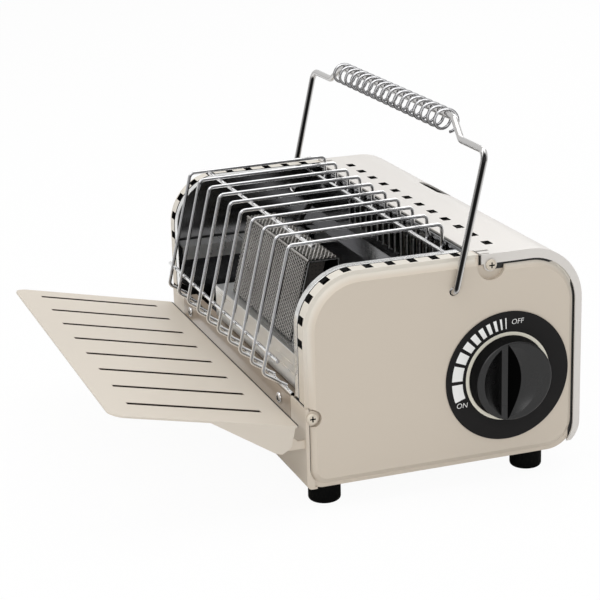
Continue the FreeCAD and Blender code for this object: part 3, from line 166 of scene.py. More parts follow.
def colour(red, green, blue):
    """A linear colour from screen values out of 255."""
    return tuple((value / 255 / 12.92 if value <= 10 else ((value / 255 + 0.055) / 1.055) ** 2.4)
                 for value in (red, green, blue))


def new_finish(name):
    finish = bpy.data.materials.new(name)
    finish.use_nodes = True
    return finish, finish.node_tree, finish.node_tree.nodes["Principled BSDF"]


def blend_colours(tree, factor, dark, light, target):
    mix = add_node(tree, "ShaderNodeMix", {"Factor": factor, "A": (*dark, 1), "B": (*light, 1)}, data_type="RGBA")
    tree.links.new(mix.outputs["Result"], target)


NOISE_SPAN = (0.3, 0.7)


def spread(tree, source, low, high, target):
    """Sends a mask, spread between two values, to a socket."""
    reach = add_node(tree, "ShaderNodeMapRange", {"Value": source, "From Min": NOISE_SPAN[0], "From Max": NOISE_SPAN[1],
                                                  "To Min": low, "To Max": high})
    tree.links.new(reach.outputs["Result"], target)


def relief(tree, source, distance, strength, surface):
    bump = add_node(tree, "ShaderNodeBump", {"Height": source, "Distance": distance, "Strength": strength})
    tree.links.new(bump.outputs["Normal"], surface.inputs["Normal"])


def scaled_colour(tone, factor):
    return tuple(min(1.0, value * factor) for value in tone)


COAT_GRAIN = {"Tone_Size": 11.0, "Peel_Size": 1100.0}
COAT_PEEL = (0.00006, 0.25)


def painted_sheet(name, tone, gloss=0.42):
    """Satin powder coat on sheet steel."""
    finish, tree, surface = new_finish(name)
    grain = placed_group(tree, "coat_grain", **COAT_GRAIN)
    blend_colours(tree, grain.outputs["Tone"], scaled_colour(tone, 0.965), scaled_colour(tone, 1.03),
                  surface.inputs["Base Color"])
    spread(tree, grain.outputs["Tone"], gloss - 0.04, gloss + 0.05, surface.inputs["Roughness"])
    relief(tree, grain.outputs["Peel"], *COAT_PEEL, surface)
    return finish


def worked(tree, operation, first, second=0.0):
    """A math node's output from two sockets or numbers."""
    return add_node(tree, "ShaderNodeMath", {0: first, 1: second}, operation=operation).outputs[0]


def inverse(tree, mask):
    return worked(tree, "SUBTRACT", 1.0, mask)


def step_up(tree, source, start, end):
    """A smooth step from 0 to 1 while the source goes from start to end, in millimetres."""
    reach = add_node(tree, "ShaderNodeMapRange", {"Value": source, "From Min": start * MM, "From Max": end * MM},
                     interpolation_type="SMOOTHSTEP")
    return reach.outputs["Result"]


def edge_mask(tree, source, edge, sign):
    """1 on one side of an edge, above it for a positive sign, and 0 on the other."""
    above = step_up(tree, source, edge - EDGE_SOFT / 2, edge + EDGE_SOFT / 2)
    return above if sign > 0 else inverse(tree, above)


def about_middle(tree):
    """Sockets of an object's place about the housing's middle, in metres: x, y and z."""
    parts = add_node(tree, "ShaderNodeSeparateXYZ", {0: object_place(tree)})
    return [worked(tree, "SUBTRACT", parts.outputs[i], MIDDLE[i]) for i in range(3)]


def shaded_where(tree, mask, tone, surface):
    """Mixes a tone over what the base colour has, where a mask is 1."""
    before = surface.inputs["Base Color"].links[0].from_socket
    coat = add_node(tree, "ShaderNodeMix", {"Factor": mask, "A": before, "B": (*tone, 1)}, data_type="RGBA")
    tree.links.new(coat.outputs["Result"], surface.inputs["Base Color"])


SLOT_PITCH = 30.6
SLOT_FIRST_X = 107.1
SLOT_SHADE = (1.6, 2.2)
SLOT_SPAN_Y = (-180.0, -103.3)
TRAY_EDGE_Y = -89.5


def tray_paint(name, tone):
    """The tray's coat, with painted shade round its slots and a painted black shade line along its hinge edge."""
    finish = painted_sheet(name, tone, 0.45)
    tree = finish.node_tree
    surface = tree.nodes["Principled BSDF"]
    x, y, _ = about_middle(tree)
    # painted shade: a darker tone round each slot
    off = worked(tree, "PINGPONG", worked(tree, "ADD", x, SLOT_FIRST_X * MM), SLOT_PITCH / 2 * MM)
    beside = inverse(tree, step_up(tree, off, *SLOT_SHADE))
    along = worked(tree, "MULTIPLY", edge_mask(tree, y, SLOT_SPAN_Y[0], 1), edge_mask(tree, y, SLOT_SPAN_Y[1], -1))
    shaded_where(tree, worked(tree, "MULTIPLY", beside, along), colour(112, 98, 86), surface)
    # painted shade: black along the hinge edge, where the tray meets the rail
    shaded_where(tree, edge_mask(tree, y, TRAY_EDGE_Y, 1), colour(14, 12, 11), surface)
    return finish


def knob_paint_with_painted_shade(name):
    """Black plastic with painted shade: it mirrors nothing in the hollow beside the knob's ridge."""
    finish = moulded(name, colour(6, 6, 6), 0.24, 0.02)
    tree = finish.node_tree
    _, y, z = about_middle(tree)
    aside = worked(tree, "SUBTRACT", y, DIAL_Y * MM)
    above = worked(tree, "MULTIPLY", worked(tree, "SUBTRACT", z, DIAL_Z * MM), 1 / (HOLLOW_HALF * MM))
    taper = inverse(tree, worked(tree, "POWER", worked(tree, "ABSOLUTE", above), 2.0))
    past = worked(tree, "SUBTRACT", aside, worked(tree, "MULTIPLY", taper, HOLLOW_WIDE * MM))
    start = KNOB_RIDGE_HALF - KNOB_RIDGE_ASIDE
    hollow = worked(tree, "MULTIPLY", edge_mask(tree, aside, start, 1), edge_mask(tree, past, start, -1))
    # painted shade: the specular level falls to nothing inside the hollow
    shine = worked(tree, "MULTIPLY", inverse(tree, hollow), SHINE)
    tree.links.new(shine, tree.nodes["Principled BSDF"].inputs["Specular IOR Level"])
    return finish


COVER_PIVOT = (27.0, 131.3)
GAP_EDGE_X = 129.75
GAP_ZONES = [((27.5, 1), (128.0, 1)), ((78.0, 1), (18.0, 1)), ((-82.4, -1), (61.5, -1))]
EDGE_SOFT = 0.3
SEAM_PAINTED_SHADE = (0.004, 0.004, 0.004)
PIVOT_ROOM = 9.8
RIM_PAINTED_LIGHT_FROM = 62.0
RIM_PAINTED_LIGHT_FULL = 108.0


def end_paint_with_painted_light_and_shade(name, field, rim):
    """The end panels' coat: painted light on the upper rim, which is lighter than the raised field, and painted black
    shade in the seams.
    """
    finish, tree, surface = new_finish(name)
    grain = placed_group(tree, "coat_grain", **COAT_GRAIN)
    x, y, z = about_middle(tree)
    x = worked(tree, "ABSOLUTE", x)
    raised = step_up(tree, x, RIM_FACE_X, RIM_FACE_X + RIM_FADE)
    # painted light: the lighter rim colour shows only on the upper rim, where light falls; the field tone covers the
    # raised field, the lower rim and the disc round the cover's pivot
    low = inverse(tree, step_up(tree, z, RIM_PAINTED_LIGHT_FROM, RIM_PAINTED_LIGHT_FULL))
    squares = [worked(tree, "POWER", worked(tree, "SUBTRACT", along, middle * MM), 2.0)
               for along, middle in zip((y, z), COVER_PIVOT)]
    away = worked(tree, "SQRT", worked(tree, "ADD", *squares))
    near_pivot = inverse(tree, step_up(tree, away, PIVOT_ROOM, PIVOT_ROOM + EDGE_SOFT))
    plain = worked(tree, "MAXIMUM", raised, worked(tree, "MAXIMUM", low, near_pivot))
    blend_colours(tree, plain, rim, field, surface.inputs["Base Color"])
    # painted shade: black lines in the seams at the rim face, which are colour, not gaps
    seam_painted_shade = inverse(tree, step_up(tree, x, GAP_EDGE_X, GAP_EDGE_X + EDGE_SOFT))
    seam_shade_zones = 0.0
    for (edge_y, sign_y), (edge_z, sign_z) in GAP_ZONES:
        inside = worked(tree, "MULTIPLY", edge_mask(tree, y, edge_y, sign_y), edge_mask(tree, z, edge_z, sign_z))
        seam_shade_zones = worked(tree, "MAXIMUM", seam_shade_zones, inside)
    shaded_where(tree, worked(tree, "MULTIPLY", seam_painted_shade, seam_shade_zones), SEAM_PAINTED_SHADE, surface)
    spread(tree, grain.outputs["Tone"], 0.36, 0.46, surface.inputs["Roughness"])
    relief(tree, grain.outputs["Peel"], *COAT_PEEL, surface)
    return finish


def steel_sheet(name, tone, gloss=0.3, along=(6.0, 500.0, 500.0), wear=1.0):
    """Rolled bright steel with fine lines; wear tells how strongly lines and clouds show."""
    finish, tree, surface = new_finish(name)
    lines = placed_group(tree, "rolling_lines", Along_X=along[0], Along_Y=along[1], Along_Z=along[2])
    blend_colours(tree, lines.outputs["Cloud"], scaled_colour(tone, 1 - 0.14 * wear),
                  scaled_colour(tone, 1 + 0.1 * wear), surface.inputs["Base Color"])
    spread(tree, lines.outputs["Lines"], gloss * (1 - 0.4 * wear), gloss * (1 + 0.4 * wear),
           surface.inputs["Roughness"])
    surface.inputs["Metallic"].default_value = 1.0
    relief(tree, lines.outputs["Lines"], 0.00004, 0.3 * wear, surface)
    return finish


PAINTED_REFLECTION_BAND = (0.06, 0.34)


def plating_with_painted_reflection(name, painted_facing_tone, edge, gloss=0.1):
    """Plating with a painted reflection: one tone where it faces the eye and another at its sides, a little hazy."""
    finish, tree, surface = new_finish(name)
    lines = placed_group(tree, "rolling_lines", Along_X=300.0, Along_Y=300.0, Along_Z=300.0, Cloud_Size=60.0)
    # painted reflection: Layer Weight's Facing picks the base colour, so the light and dark bands follow the eye
    turned = add_node(tree, "ShaderNodeLayerWeight", {"Blend": 0.5})
    painted_reflection_mask = add_node(tree, "ShaderNodeMapRange", {"Value": turned.outputs["Facing"], "From Min": PAINTED_REFLECTION_BAND[0],
                                                 "From Max": PAINTED_REFLECTION_BAND[1]}, interpolation_type="SMOOTHSTEP")
    blend_colours(tree, painted_reflection_mask.outputs["Result"], painted_facing_tone, edge, surface.inputs["Base Color"])
    spread(tree, lines.outputs["Lines"], gloss - 0.04, gloss + 0.08, surface.inputs["Roughness"])
    surface.inputs["Metallic"].default_value = 1.0
    return finish


SHINE = 0.5


def moulded(name, tone, gloss, peel=0.2, shine=SHINE):
    """Moulded plastic or rubber."""
    finish, tree, surface = new_finish(name)
    grain = placed_group(tree, "coat_grain", Tone_Size=30.0, Peel_Size=1500.0)
    blend_colours(tree, grain.outputs["Tone"], scaled_colour(tone, 0.85), scaled_colour(tone, 1.15),
                  surface.inputs["Base Color"])
    spread(tree, grain.outputs["Tone"], max(0.02, gloss - 0.05), gloss + 0.08, surface.inputs["Roughness"])
    surface.inputs["Specular IOR Level"].default_value = shine
    relief(tree, grain.outputs["Peel"], 0.00005, peel, surface)
    return finish


def heated_mesh(name, steel, brown):
    """Mesh wire that the burner has dulled and browned in clouds."""
    finish, tree, surface = new_finish(name)
    cloud = placed_group(tree, "rolling_lines", Along_X=200.0, Along_Y=200.0, Along_Z=200.0, Cloud_Size=28.0)
    blend_colours(tree, cloud.outputs["Cloud"], brown, steel, surface.inputs["Base Color"])
    spread(tree, cloud.outputs["Lines"], 0.22, 0.5, surface.inputs["Roughness"])
    surface.inputs["Metallic"].default_value = 0.9
    return finish


def drilled_ceramic(name, tone):
    """The plaque's ceramic, darkened as painted shade behind the mesh, with its rows of flame ports darker still as
    painted shade in the holes.
    """
    finish, tree, surface = new_finish(name)
    ports = placed_group(tree, "flame_ports", Port_Pitch=420.0)
    blend_colours(tree, ports.outputs["Ports"], scaled_colour(tone, 0.18), tone, surface.inputs["Base Color"])
    surface.inputs["Roughness"].default_value = 0.85
    relief(tree, ports.outputs["Ports"], 0.0004, 0.6, surface)
    return finish


def finishes(sizes):
    """Every finish by name, built once."""
    if "panel paint" in bpy.data.materials:
        return {made.name: made for made in bpy.data.materials}
    panel = tuple(sizes.panel_colour)
    made = [
        painted_sheet("panel paint", panel),
        end_paint_with_painted_light_and_shade("end paint", panel, tuple(sizes.rim_painted_light_colour)),
        painted_sheet("cover paint", tuple(sizes.cover_colour), 0.38),
        tray_paint("tray paint", tuple(sizes.tray_colour)),
        painted_sheet("lip paint", colour(236, 232, 216), 0.4),
        painted_sheet("rail paint", colour(160, 146, 130), 0.22),
        painted_sheet("dark paint", colour(62, 62, 63), 0.5),
        painted_sheet("screw paint", colour(206, 196, 180), 0.3),
        # deep shade: a near-black, rough finish that faces take as painted shade; the knob's side takes it as the
        # knob's own black
        moulded("deep shade", colour(7, 7, 7), 0.8, 0.0, 0.1),
        steel_sheet("bright steel", (0.80, 0.80, 0.79), 0.3, (6.0, 300.0, 300.0), 0.35),
        steel_sheet("liner steel", (0.84, 0.84, 0.83), 0.22, (500.0, 40.0, 40.0), 0.4),
        steel_sheet("inner steel", (0.20, 0.20, 0.205), 0.2, (300.0, 8.0, 300.0), 0.5),
        steel_sheet("divider steel", (0.21, 0.21, 0.215), 0.12, (8.0, 300.0, 300.0), 0.5),
        steel_sheet("floor steel", (0.50, 0.50, 0.50), 0.05, (8.0, 400.0, 400.0), 0.3),
        # These four platings carry a painted reflection: one tone facing the eye and another at the sides
        plating_with_painted_reflection("bright plating", (0.30, 0.30, 0.31), (0.90, 0.90, 0.90), 0.08),
        plating_with_painted_reflection("bail plating", (0.012, 0.012, 0.012), (0.62, 0.61, 0.60), 0.1),
        plating_with_painted_reflection("grip plating", (0.58, 0.58, 0.59), (0.16, 0.16, 0.165), 0.14),
        plating_with_painted_reflection("screw plating", (0.45, 0.44, 0.43), (0.75, 0.74, 0.73), 0.2),
        heated_mesh("burner mesh", (0.66, 0.64, 0.61), (0.20, 0.18, 0.16)),
        drilled_ceramic("plaque ceramic", colour(40, 36, 33)),
        steel_sheet("turned brass", (0.62, 0.46, 0.22), 0.28, (400.0, 12.0, 12.0)),
        steel_sheet("cast alloy", (0.52, 0.52, 0.53), 0.42, (60.0, 60.0, 60.0)),
        moulded("ring black", colour(25, 24, 24), 0.6, 0.1, 0.15),
        knob_paint_with_painted_shade("knob black"),
        moulded("foot rubber", colour(3, 3, 3), 0.7, 0.5, 0.08),
        moulded("mark white", colour(238, 238, 236), 0.5, 0.1),
    ]
    return {finish.name: finish for finish in made}


# Making meshes into pieces

def clear_and_give(node, finish):
    node.data.materials.clear()
    node.data.materials.append(finish)


def piece_from(name, mesh, body, slot, finish, *replaced):
    """A piece that moves with a body and stands for CAD nodes; the slot argument is not used."""
    piece = bpy.data.objects.new(name, mesh)
    bpy.context.scene.collection.objects.link(piece)
    if finish is not None:
        mesh.materials.clear()
        mesh.materials.append(finish)
    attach(piece, body)
    if replaced:
        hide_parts(*replaced)
    return piece


def baked(holder):
    """The plain mesh that a holder's modifiers make, after which the holder is removed."""
    bpy.context.view_layer.update()
    depsgraph = bpy.context.evaluated_depsgraph_get()
    mesh = bpy.data.meshes.new_from_object(holder.evaluated_get(depsgraph))
    bpy.data.objects.remove(holder)
    return mesh


def holder_of(name, mesh):
    holder = bpy.data.objects.new(name, mesh)
    bpy.context.scene.collection.objects.link(holder)
    return holder


def softened_mesh(node_name, width, steps, angle):
    """A copy of a CAD node's mesh, merged, with its sharp edges rounded."""
    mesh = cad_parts[node_name].data.copy()
    form = bmesh.new()
    form.from_mesh(mesh)
    bmesh.ops.remove_doubles(form, verts=form.verts, dist=1e-6)
    bmesh.ops.dissolve_limit(form, angle_limit=math.radians(0.5), verts=form.verts, edges=form.edges)
    form.to_mesh(mesh)
    form.free()
    holder = holder_of("soften", mesh)
    round_edges = holder.modifiers.new("round", "BEVEL")
    round_edges.width = width
    round_edges.segments = steps
    round_edges.limit_method = "ANGLE"
    round_edges.angle_limit = math.radians(angle)
    round_edges.use_clamp_overlap = True
    round_edges.harden_normals = True
    for polygon in mesh.polygons:
        polygon.use_smooth = True
    weighted = holder.modifiers.new("weighted", "WEIGHTED_NORMAL")
    weighted.keep_sharp = True
    return baked(holder)


def softened(node_name, body, slot, finish, width=0.3, steps=2, angle=30):
    mesh = softened_mesh(node_name, width * MM, steps, angle)
    return piece_from(node_name + "_skin", mesh, body, slot, finish, node_name)


# Geometry Nodes: bent wire, coil spring and what repeats

def geometry_tree(name, inputs):
    tree = bpy.data.node_groups.new(name, "GeometryNodeTree")
    tree.interface.new_socket("Geometry", in_out="OUTPUT", socket_type="NodeSocketGeometry")
    tree.interface.new_socket("Geometry", in_out="INPUT", socket_type="NodeSocketGeometry")
    for label, kind, value in inputs:
        socket = tree.interface.new_socket(label, in_out="INPUT", socket_type="NodeSocket" + kind)
        if value is not None:
            socket.default_value = value
    return tree, tree.nodes.new("NodeGroupInput"), tree.nodes.new("NodeGroupOutput")


def ending(tree, given, result, last):
    """Realize, smooth and finish: how every tree here ends."""
    real = add_node(tree, "GeometryNodeRealizeInstances", {0: last})
    smooth = add_node(tree, "GeometryNodeSetShadeSmooth", {0: real.outputs[0]})
    coat = add_node(tree, "GeometryNodeSetMaterial", {0: smooth.outputs[0], "Material": given.outputs["Finish"]})
    tree.links.new(coat.outputs[0], result.inputs[0])


def wire_row_tree():
    """A bent wire along the holder's edges, repeated in a row."""
    tree, given, result = geometry_tree("wire_row", [
        ("Wire Radius", "Float", 0.001), ("Sides", "Int", 14), ("Bend Steps", "Int", 7), ("Count", "Int", 1),
        ("Pitch", "Vector", (0.0, 0.0, 0.0)), ("Finish", "Material", None)])
    value = given.outputs
    curve = add_node(tree, "GeometryNodeMeshToCurve", {0: value["Geometry"]})
    bend = add_node(tree, "GeometryNodeInputNamedAttribute", {"Name": "bend"}, data_type="FLOAT")
    fillet = add_node(tree, "GeometryNodeFilletCurve", {0: curve.outputs[0], "Radius": bend.outputs[0],
                                                        "Count": value["Bend Steps"]}, mode="POLY")
    ring = add_node(tree, "GeometryNodeCurvePrimitiveCircle", {"Radius": value["Wire Radius"],
                                                               "Resolution": value["Sides"]})
    sweep = add_node(tree, "GeometryNodeCurveToMesh", {"Curve": fillet.outputs[0], "Profile Curve": ring.outputs[0],
                                                       "Fill Caps": True})
    row = add_node(tree, "GeometryNodeMeshLine", {"Count": value["Count"], "Offset": value["Pitch"]}, mode="OFFSET")
    copies = add_node(tree, "GeometryNodeInstanceOnPoints", {"Points": row.outputs[0], "Instance": sweep.outputs[0]})
    ending(tree, given, result, copies.outputs[0])
    return tree


def grid_copies_tree():
    """Copies of the holder's own mesh on a grid."""
    tree, given, result = geometry_tree("grid_copies", [
        ("Across", "Vector", (0.001, 0, 0)), ("Across Count", "Int", 2), ("Up", "Vector", (0, 0, 0.001)),
        ("Up Count", "Int", 2), ("Finish", "Material", None)])
    copied = given.outputs["Geometry"]
    for way in ("Across", "Up"):
        line = add_node(tree, "GeometryNodeMeshLine", {"Count": given.outputs[way + " Count"],
                                                       "Offset": given.outputs[way]}, mode="OFFSET")
        copies = add_node(tree, "GeometryNodeInstanceOnPoints", {"Points": line.outputs[0], "Instance": copied})
        copied = copies.outputs[0]
    ending(tree, given, result, copied)
    return tree


def coil_tree():
    """A coil spring along X from its turns, radius, length and wire."""
    tree, given, result = geometry_tree("coil", [
        ("Turns", "Float", 10.0), ("Radius", "Float", 0.006), ("Length", "Float", 0.1), ("Wire Radius", "Float", 0.001),
        ("Steps", "Int", 22), ("Sides", "Int", 10), ("Middle", "Vector", (0, 0, 0)), ("Finish", "Material", None)])
    value = given.outputs
    spiral = add_node(tree, "GeometryNodeCurveSpiral", {
        "Rotations": value["Turns"], "Resolution": value["Steps"], "Start Radius": value["Radius"],
        "End Radius": value["Radius"], "Height": value["Length"]})
    ring = add_node(tree, "GeometryNodeCurvePrimitiveCircle", {"Radius": value["Wire Radius"],
                                                               "Resolution": value["Sides"]})
    sweep = add_node(tree, "GeometryNodeCurveToMesh", {"Curve": spiral.outputs[0], "Profile Curve": ring.outputs[0],
                                                       "Fill Caps": True})
    turn = add_node(tree, "GeometryNodeTransform", {"Geometry": sweep.outputs[0], "Translation": value["Middle"],
                                                    "Rotation": (0, math.radians(90), 0)})
    ending(tree, given, result, turn.outputs[0])
    return tree


TREES = {"wire_row": wire_row_tree, "grid_copies": grid_copies_tree, "coil": coil_tree}


def grown(mesh, tree_name, **values):
    """The plain mesh that a tree makes from a holder's mesh and named inputs."""
    tree = bpy.data.node_groups.get(tree_name) or TREES[tree_name]()
    holder = holder_of(tree_name, mesh)
    modifier = holder.modifiers.new(tree_name, "NODES")
    modifier.node_group = tree
    wanted = {label.replace("_", " "): value for label, value in values.items()}
    for item in tree.interface.items_tree:
        if item.in_out == "INPUT" and item.name in wanted:
            modifier[item.identifier] = wanted[item.name]
    return baked(holder)


def path_mesh(points, bends=()):
    """Edges through points, with the radius of each bend kept on its point."""
    mesh = bpy.data.meshes.new("path")
    mesh.from_pydata([tuple(p) for p in points], [(i, i + 1) for i in range(len(points) - 1)], [])
    radii = mesh.attributes.new("bend", "FLOAT", "POINT")
    for i, radius in enumerate([0.0, *bends, 0.0][:len(points)]):
        radii.data[i].value = radius * MM
    return mesh


def mesh_of(name, verts, faces):
    mesh = bpy.data.meshes.new(name)
    mesh.from_pydata([tuple(v) for v in verts], [], faces)
    mesh.update()
    return mesh


# Housing: end panels, pan, rail and feet

PANEL_TOP = 137.5
PANEL_BEND = 33.0
FLANGE_EDGE_X = 121.0
LINER_EDGE_X = 119.75
EDGE_ROOM = 0.5
RIM_ROOM = 0.9
INWARD = 0.6
SKIN = 0.12


def marked_faces(mesh, finish, chosen):
    """Gives a further finish to the faces whose middle and normal a test chooses."""
    mesh.materials.append(finish)
    last = len(mesh.materials) - 1
    for polygon in mesh.polygons:
        place = (polygon.center - MIDDLE) / MM
        if chosen(place, polygon.normal):
            polygon.material_index = last


def panel_depth(place):
    """How far a place lies inside the housing's outline, over its top, bend and front."""
    from_bend_y = -BODY_HALF_DEPTH + PANEL_BEND - place.y
    from_bend_z = place.z - PANEL_TOP + PANEL_BEND
    if from_bend_y < 0:
        return PANEL_TOP - place.z
    if from_bend_z < 0:
        return place.y + BODY_HALF_DEPTH
    return PANEL_BEND - math.hypot(from_bend_y, from_bend_z)


def in_flange(place, normal):
    return FLANGE_EDGE_X - EDGE_ROOM < abs(place.x) < RIM_FACE_X - RIM_ROOM and panel_depth(place) > SKIN


def make_end_panels(sizes, coat):
    for name, sign in (("dial_end_panel", -1), ("plain_end_panel", 1)):
        piece = softened(name, "housing", "panel_paint", coat["end paint"], 1.4, 4, 20)
        # painted shade: the panels' inward faces are steel, given a dark tone that stands in for the shade inside the
        # housing
        marked_faces(piece.data, coat["inner steel"], lambda place, normal: normal.x * sign > INWARD)
        # painted shade: a black line on the flange's inner edge strip, beside the liner
        marked_faces(piece.data, coat["deep shade"], in_flange)
    for name in ("dial_end_liner", "plain_end_liner"):
        piece = softened(name, "housing", "bright_steel", coat["liner steel"], 0.15, 1)
        # painted shade: the liner's lap beyond its edge, seen through the gap, takes the black deep shade finish
        marked_faces(piece.data, coat["deep shade"], lambda place, normal: abs(place.x) > LINER_EDGE_X)


def make_pan_and_rail(sizes, coat):
    softened("base_pan", "housing", "panel_paint", coat["panel paint"], 0.25, 2)
    softened("front_rail", "housing", "rail_paint", coat["rail paint"], 0.25, 2)


def make_feet(sizes, coat):
    for i in range(4):
        softened("foot_%d" % i, "housing", "foot_rubber", coat["foot rubber"], 0.4, 2)


# Cover and tray

COVER_VENTS_Y = (32.0, 38.0)
COVER_SHEET = 1.2
TRAY_HALF = 119.0


def in_cover_vent(place, normal):
    return (COVER_VENTS_Y[0] < place.y < COVER_VENTS_Y[1] and PANEL_TOP - COVER_SHEET < place.z < PANEL_TOP - SKIN
            and abs(place.x) < TRAY_HALF)


def in_tray_slot(place, normal):
    return abs(normal.x) > 0.5 and abs(place.x) < TRAY_HALF


def make_cover(sizes, coat):
    piece = softened("cartridge_cover", "cover", "cover_paint", coat["cover paint"], 0.3, 2)
    # painted shade: the vents' walls take the black deep shade finish
    marked_faces(piece.data, coat["deep shade"], in_cover_vent)


def make_tray(sizes, coat):
    piece = softened("front_tray", "tray", "tray_paint", coat["tray paint"], 0.15, 2)
    # painted shade: the slots' walls take the black deep shade finish
    marked_faces(piece.data, coat["deep shade"], in_tray_slot)


# Guard

WIRE_COUNT = 10
WIRE_PITCH = 21.13
WIRE_PATH = [(-83.4, 63.9), (-97.4, 72.8), (-79.8, 145.8), (13.4, 147.6), (13.4, 130.6)]
WIRE_BENDS = [3.2, 3.2, 3.2]


def make_guard(sizes, coat):
    """The ten bent wires, their cross rails and the spot welds between them."""
    x0 = -WIRE_PITCH * (WIRE_COUNT - 1) / 2
    points = [at(x0, y, z) for y, z in WIRE_PATH]
    wires = grown(path_mesh(points, WIRE_BENDS), "wire_row", Wire_Radius=sizes.guard_wire / 2, Count=WIRE_COUNT,
                  Pitch=(WIRE_PITCH * MM, 0, 0), Finish=coat["bright plating"])
    replaced = ["guard_wire_%02d" % i for i in range(WIRE_COUNT)]
    piece_from("guard_wires", wires, "housing", "chrome_wire", None, *replaced)
    for name in ("guard_top_rail", "guard_low_rail", "guard_foot_rail", "guard_rear_rail"):
        low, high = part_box(name)
        middle = (low + high) / 2
        line = [Vector((low.x, middle.y, middle.z)), Vector((high.x, middle.y, middle.z))]
        rail = grown(path_mesh(line), "wire_row", Wire_Radius=(high.z - low.z) / 2, Finish=coat["bright plating"])
        piece_from(name + "_bar", rail, "housing", "chrome_wire", None, name)
        make_welds(name, x0, coat)


WELD_RADIUS = 0.9


def make_welds(rail, x0, coat):
    """A small squeezed bead where each wire crosses a rail."""
    low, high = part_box(rail)
    middle = (low + high) / 2
    towards = {"guard_top_rail": (0, 0, 1), "guard_low_rail": (0, -1, 0.24), "guard_foot_rail": (0, 0, 1),
               "guard_rear_rail": (0, 1, 0)}[rail]
    bead = bmesh.new()
    bmesh.ops.create_icosphere(bead, subdivisions=2, radius=WELD_RADIUS * MM)
    place = Vector((at(x0, 0, 0).x, middle.y, middle.z)) + Vector(towards).normalized() * (high.z - low.z) / 2
    bead.transform(Matrix.Translation(place) @ Matrix.Diagonal((1.2, 1.0, 0.8, 1.0)))
    mesh = bpy.data.meshes.new("bead")
    bead.to_mesh(mesh)
    bead.free()
    welds = grown(mesh, "grid_copies", Across=(WIRE_PITCH * MM, 0, 0), Across_Count=WIRE_COUNT, Up_Count=1,
                  Finish=coat["bright plating"])
    piece_from(rail + "_welds", welds, "housing", "chrome_wire", None)


# Bail and its spring grip

BAIL_LEAN = 13.0
BAIL_PIVOT = (3.7, 118.9)
BAIL_HALF = [(124.5, 0.0), (135.3, 0.0), (135.3, 80.5), (103.0, 80.5), (88.0, 90.6)]
BAIL_BENDS = [2.6, 6.0, 6.0, 6.0]


def leaned(x, rise):
    """A place on the bail's plane at a height above its pivot."""
    lean = math.radians(BAIL_LEAN)
    return at(x, BAIL_PIVOT[0] + rise * math.sin(lean), BAIL_PIVOT[1] + rise * math.cos(lean))


def make_bail(sizes, coat):
    points = [leaned(x, rise) for x, rise in BAIL_HALF] + [leaned(-x, rise) for x, rise in reversed(BAIL_HALF)]
    path = path_mesh(points, BAIL_BENDS + BAIL_BENDS[::-1])
    wire = grown(path, "wire_row", Wire_Radius=sizes.bail_wire / 2, Sides=20, Bend_Steps=10,
                 Finish=coat["bail plating"])
    piece_from("bail_wire", wire, "bail", "chrome_wire", None, "handle_bail")


def make_grip_spring(sizes, coat):
    """The loose coil on the bail's bar, in the room of its CAD solid."""
    low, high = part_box("handle_grip_spring")
    wire = sizes.grip_wire / 2
    middle = (low + high) / 2
    length = (high.x - low.x) - 4 * wire
    start = Vector((middle.x - length / 2, middle.y, middle.z))
    coil = grown(mesh_of("empty", [], []), "coil", Turns=float(sizes.grip_turns), Radius=(high.y - low.y) / 2 - wire,
                 Length=length, Wire_Radius=wire, Middle=tuple(start), Finish=coat["grip plating"])
    piece_from("grip_coil", coil, "bail", "chrome_wire", None, "handle_grip_spring")


# Burner

MESH_ACROSS = 5.2
MESH_UP = 2.4
MESH_THICK = 0.35
MESH_HOLE = 0.79
MESH_TWIST = 2.2
MESH_LIFT = 0.45
BURNER_LEAN = 11.5
FOLD_RADIUS = 0.7


def diamond_cell(origin, right, up, out):
    """One opening of expanded metal: a diamond frame whose strands are twisted."""
    verts = []
    corners = [(0.5, 0.0), (0.0, 0.5), (-0.5, 0.0), (0.0, -0.5)]
    for share, depth in ((1.0, 0.5), (MESH_HOLE, 0.5), (MESH_HOLE, -0.5), (1.0, -0.5)):
        for a, b in corners:
            twist = 0.0 if share == 1.0 else MESH_TWIST * b
            verts.append(origin + (right * a * MESH_ACROSS * share + up * b * MESH_UP * share
                                   + out * MESH_THICK * (depth + twist)) * MM)
    faces = []
    for ring in range(3):
        for k in range(4):
            a = ring * 4 + k
            b = ring * 4 + (k + 1) % 4
            faces.append((a, b, b + 4, a + 4))
    return mesh_of("cell", verts, faces)


def mesh_sheet(name, origin, right, up, out, width, height, coat):
    """Expanded metal over a flat face, in two staggered sets of cells."""
    across = int(width / MESH_ACROSS)
    rows = int(height / MESH_UP)
    start = origin + (right * (width - (across - 1) * MESH_ACROSS) / 2 + up * (height - (rows - 1) * MESH_UP) / 2) * MM
    whole = bmesh.new()
    for shift, fewer in ((0.0, 0), (0.5, 1)):
        place = start + (right * MESH_ACROSS + up * MESH_UP) * shift * MM
        sheet = grown(diamond_cell(place, right, up, out), "grid_copies", Across=tuple(right * MESH_ACROSS * MM),
                      Across_Count=across - fewer, Up=tuple(up * MESH_UP * MM), Up_Count=rows - fewer,
                      Finish=coat["burner mesh"])
        whole.from_mesh(sheet)
    bmesh.ops.remove_doubles(whole, verts=whole.verts, dist=2e-6)
    mesh = bpy.data.meshes.new(name)
    whole.to_mesh(mesh)
    whole.free()
    return mesh


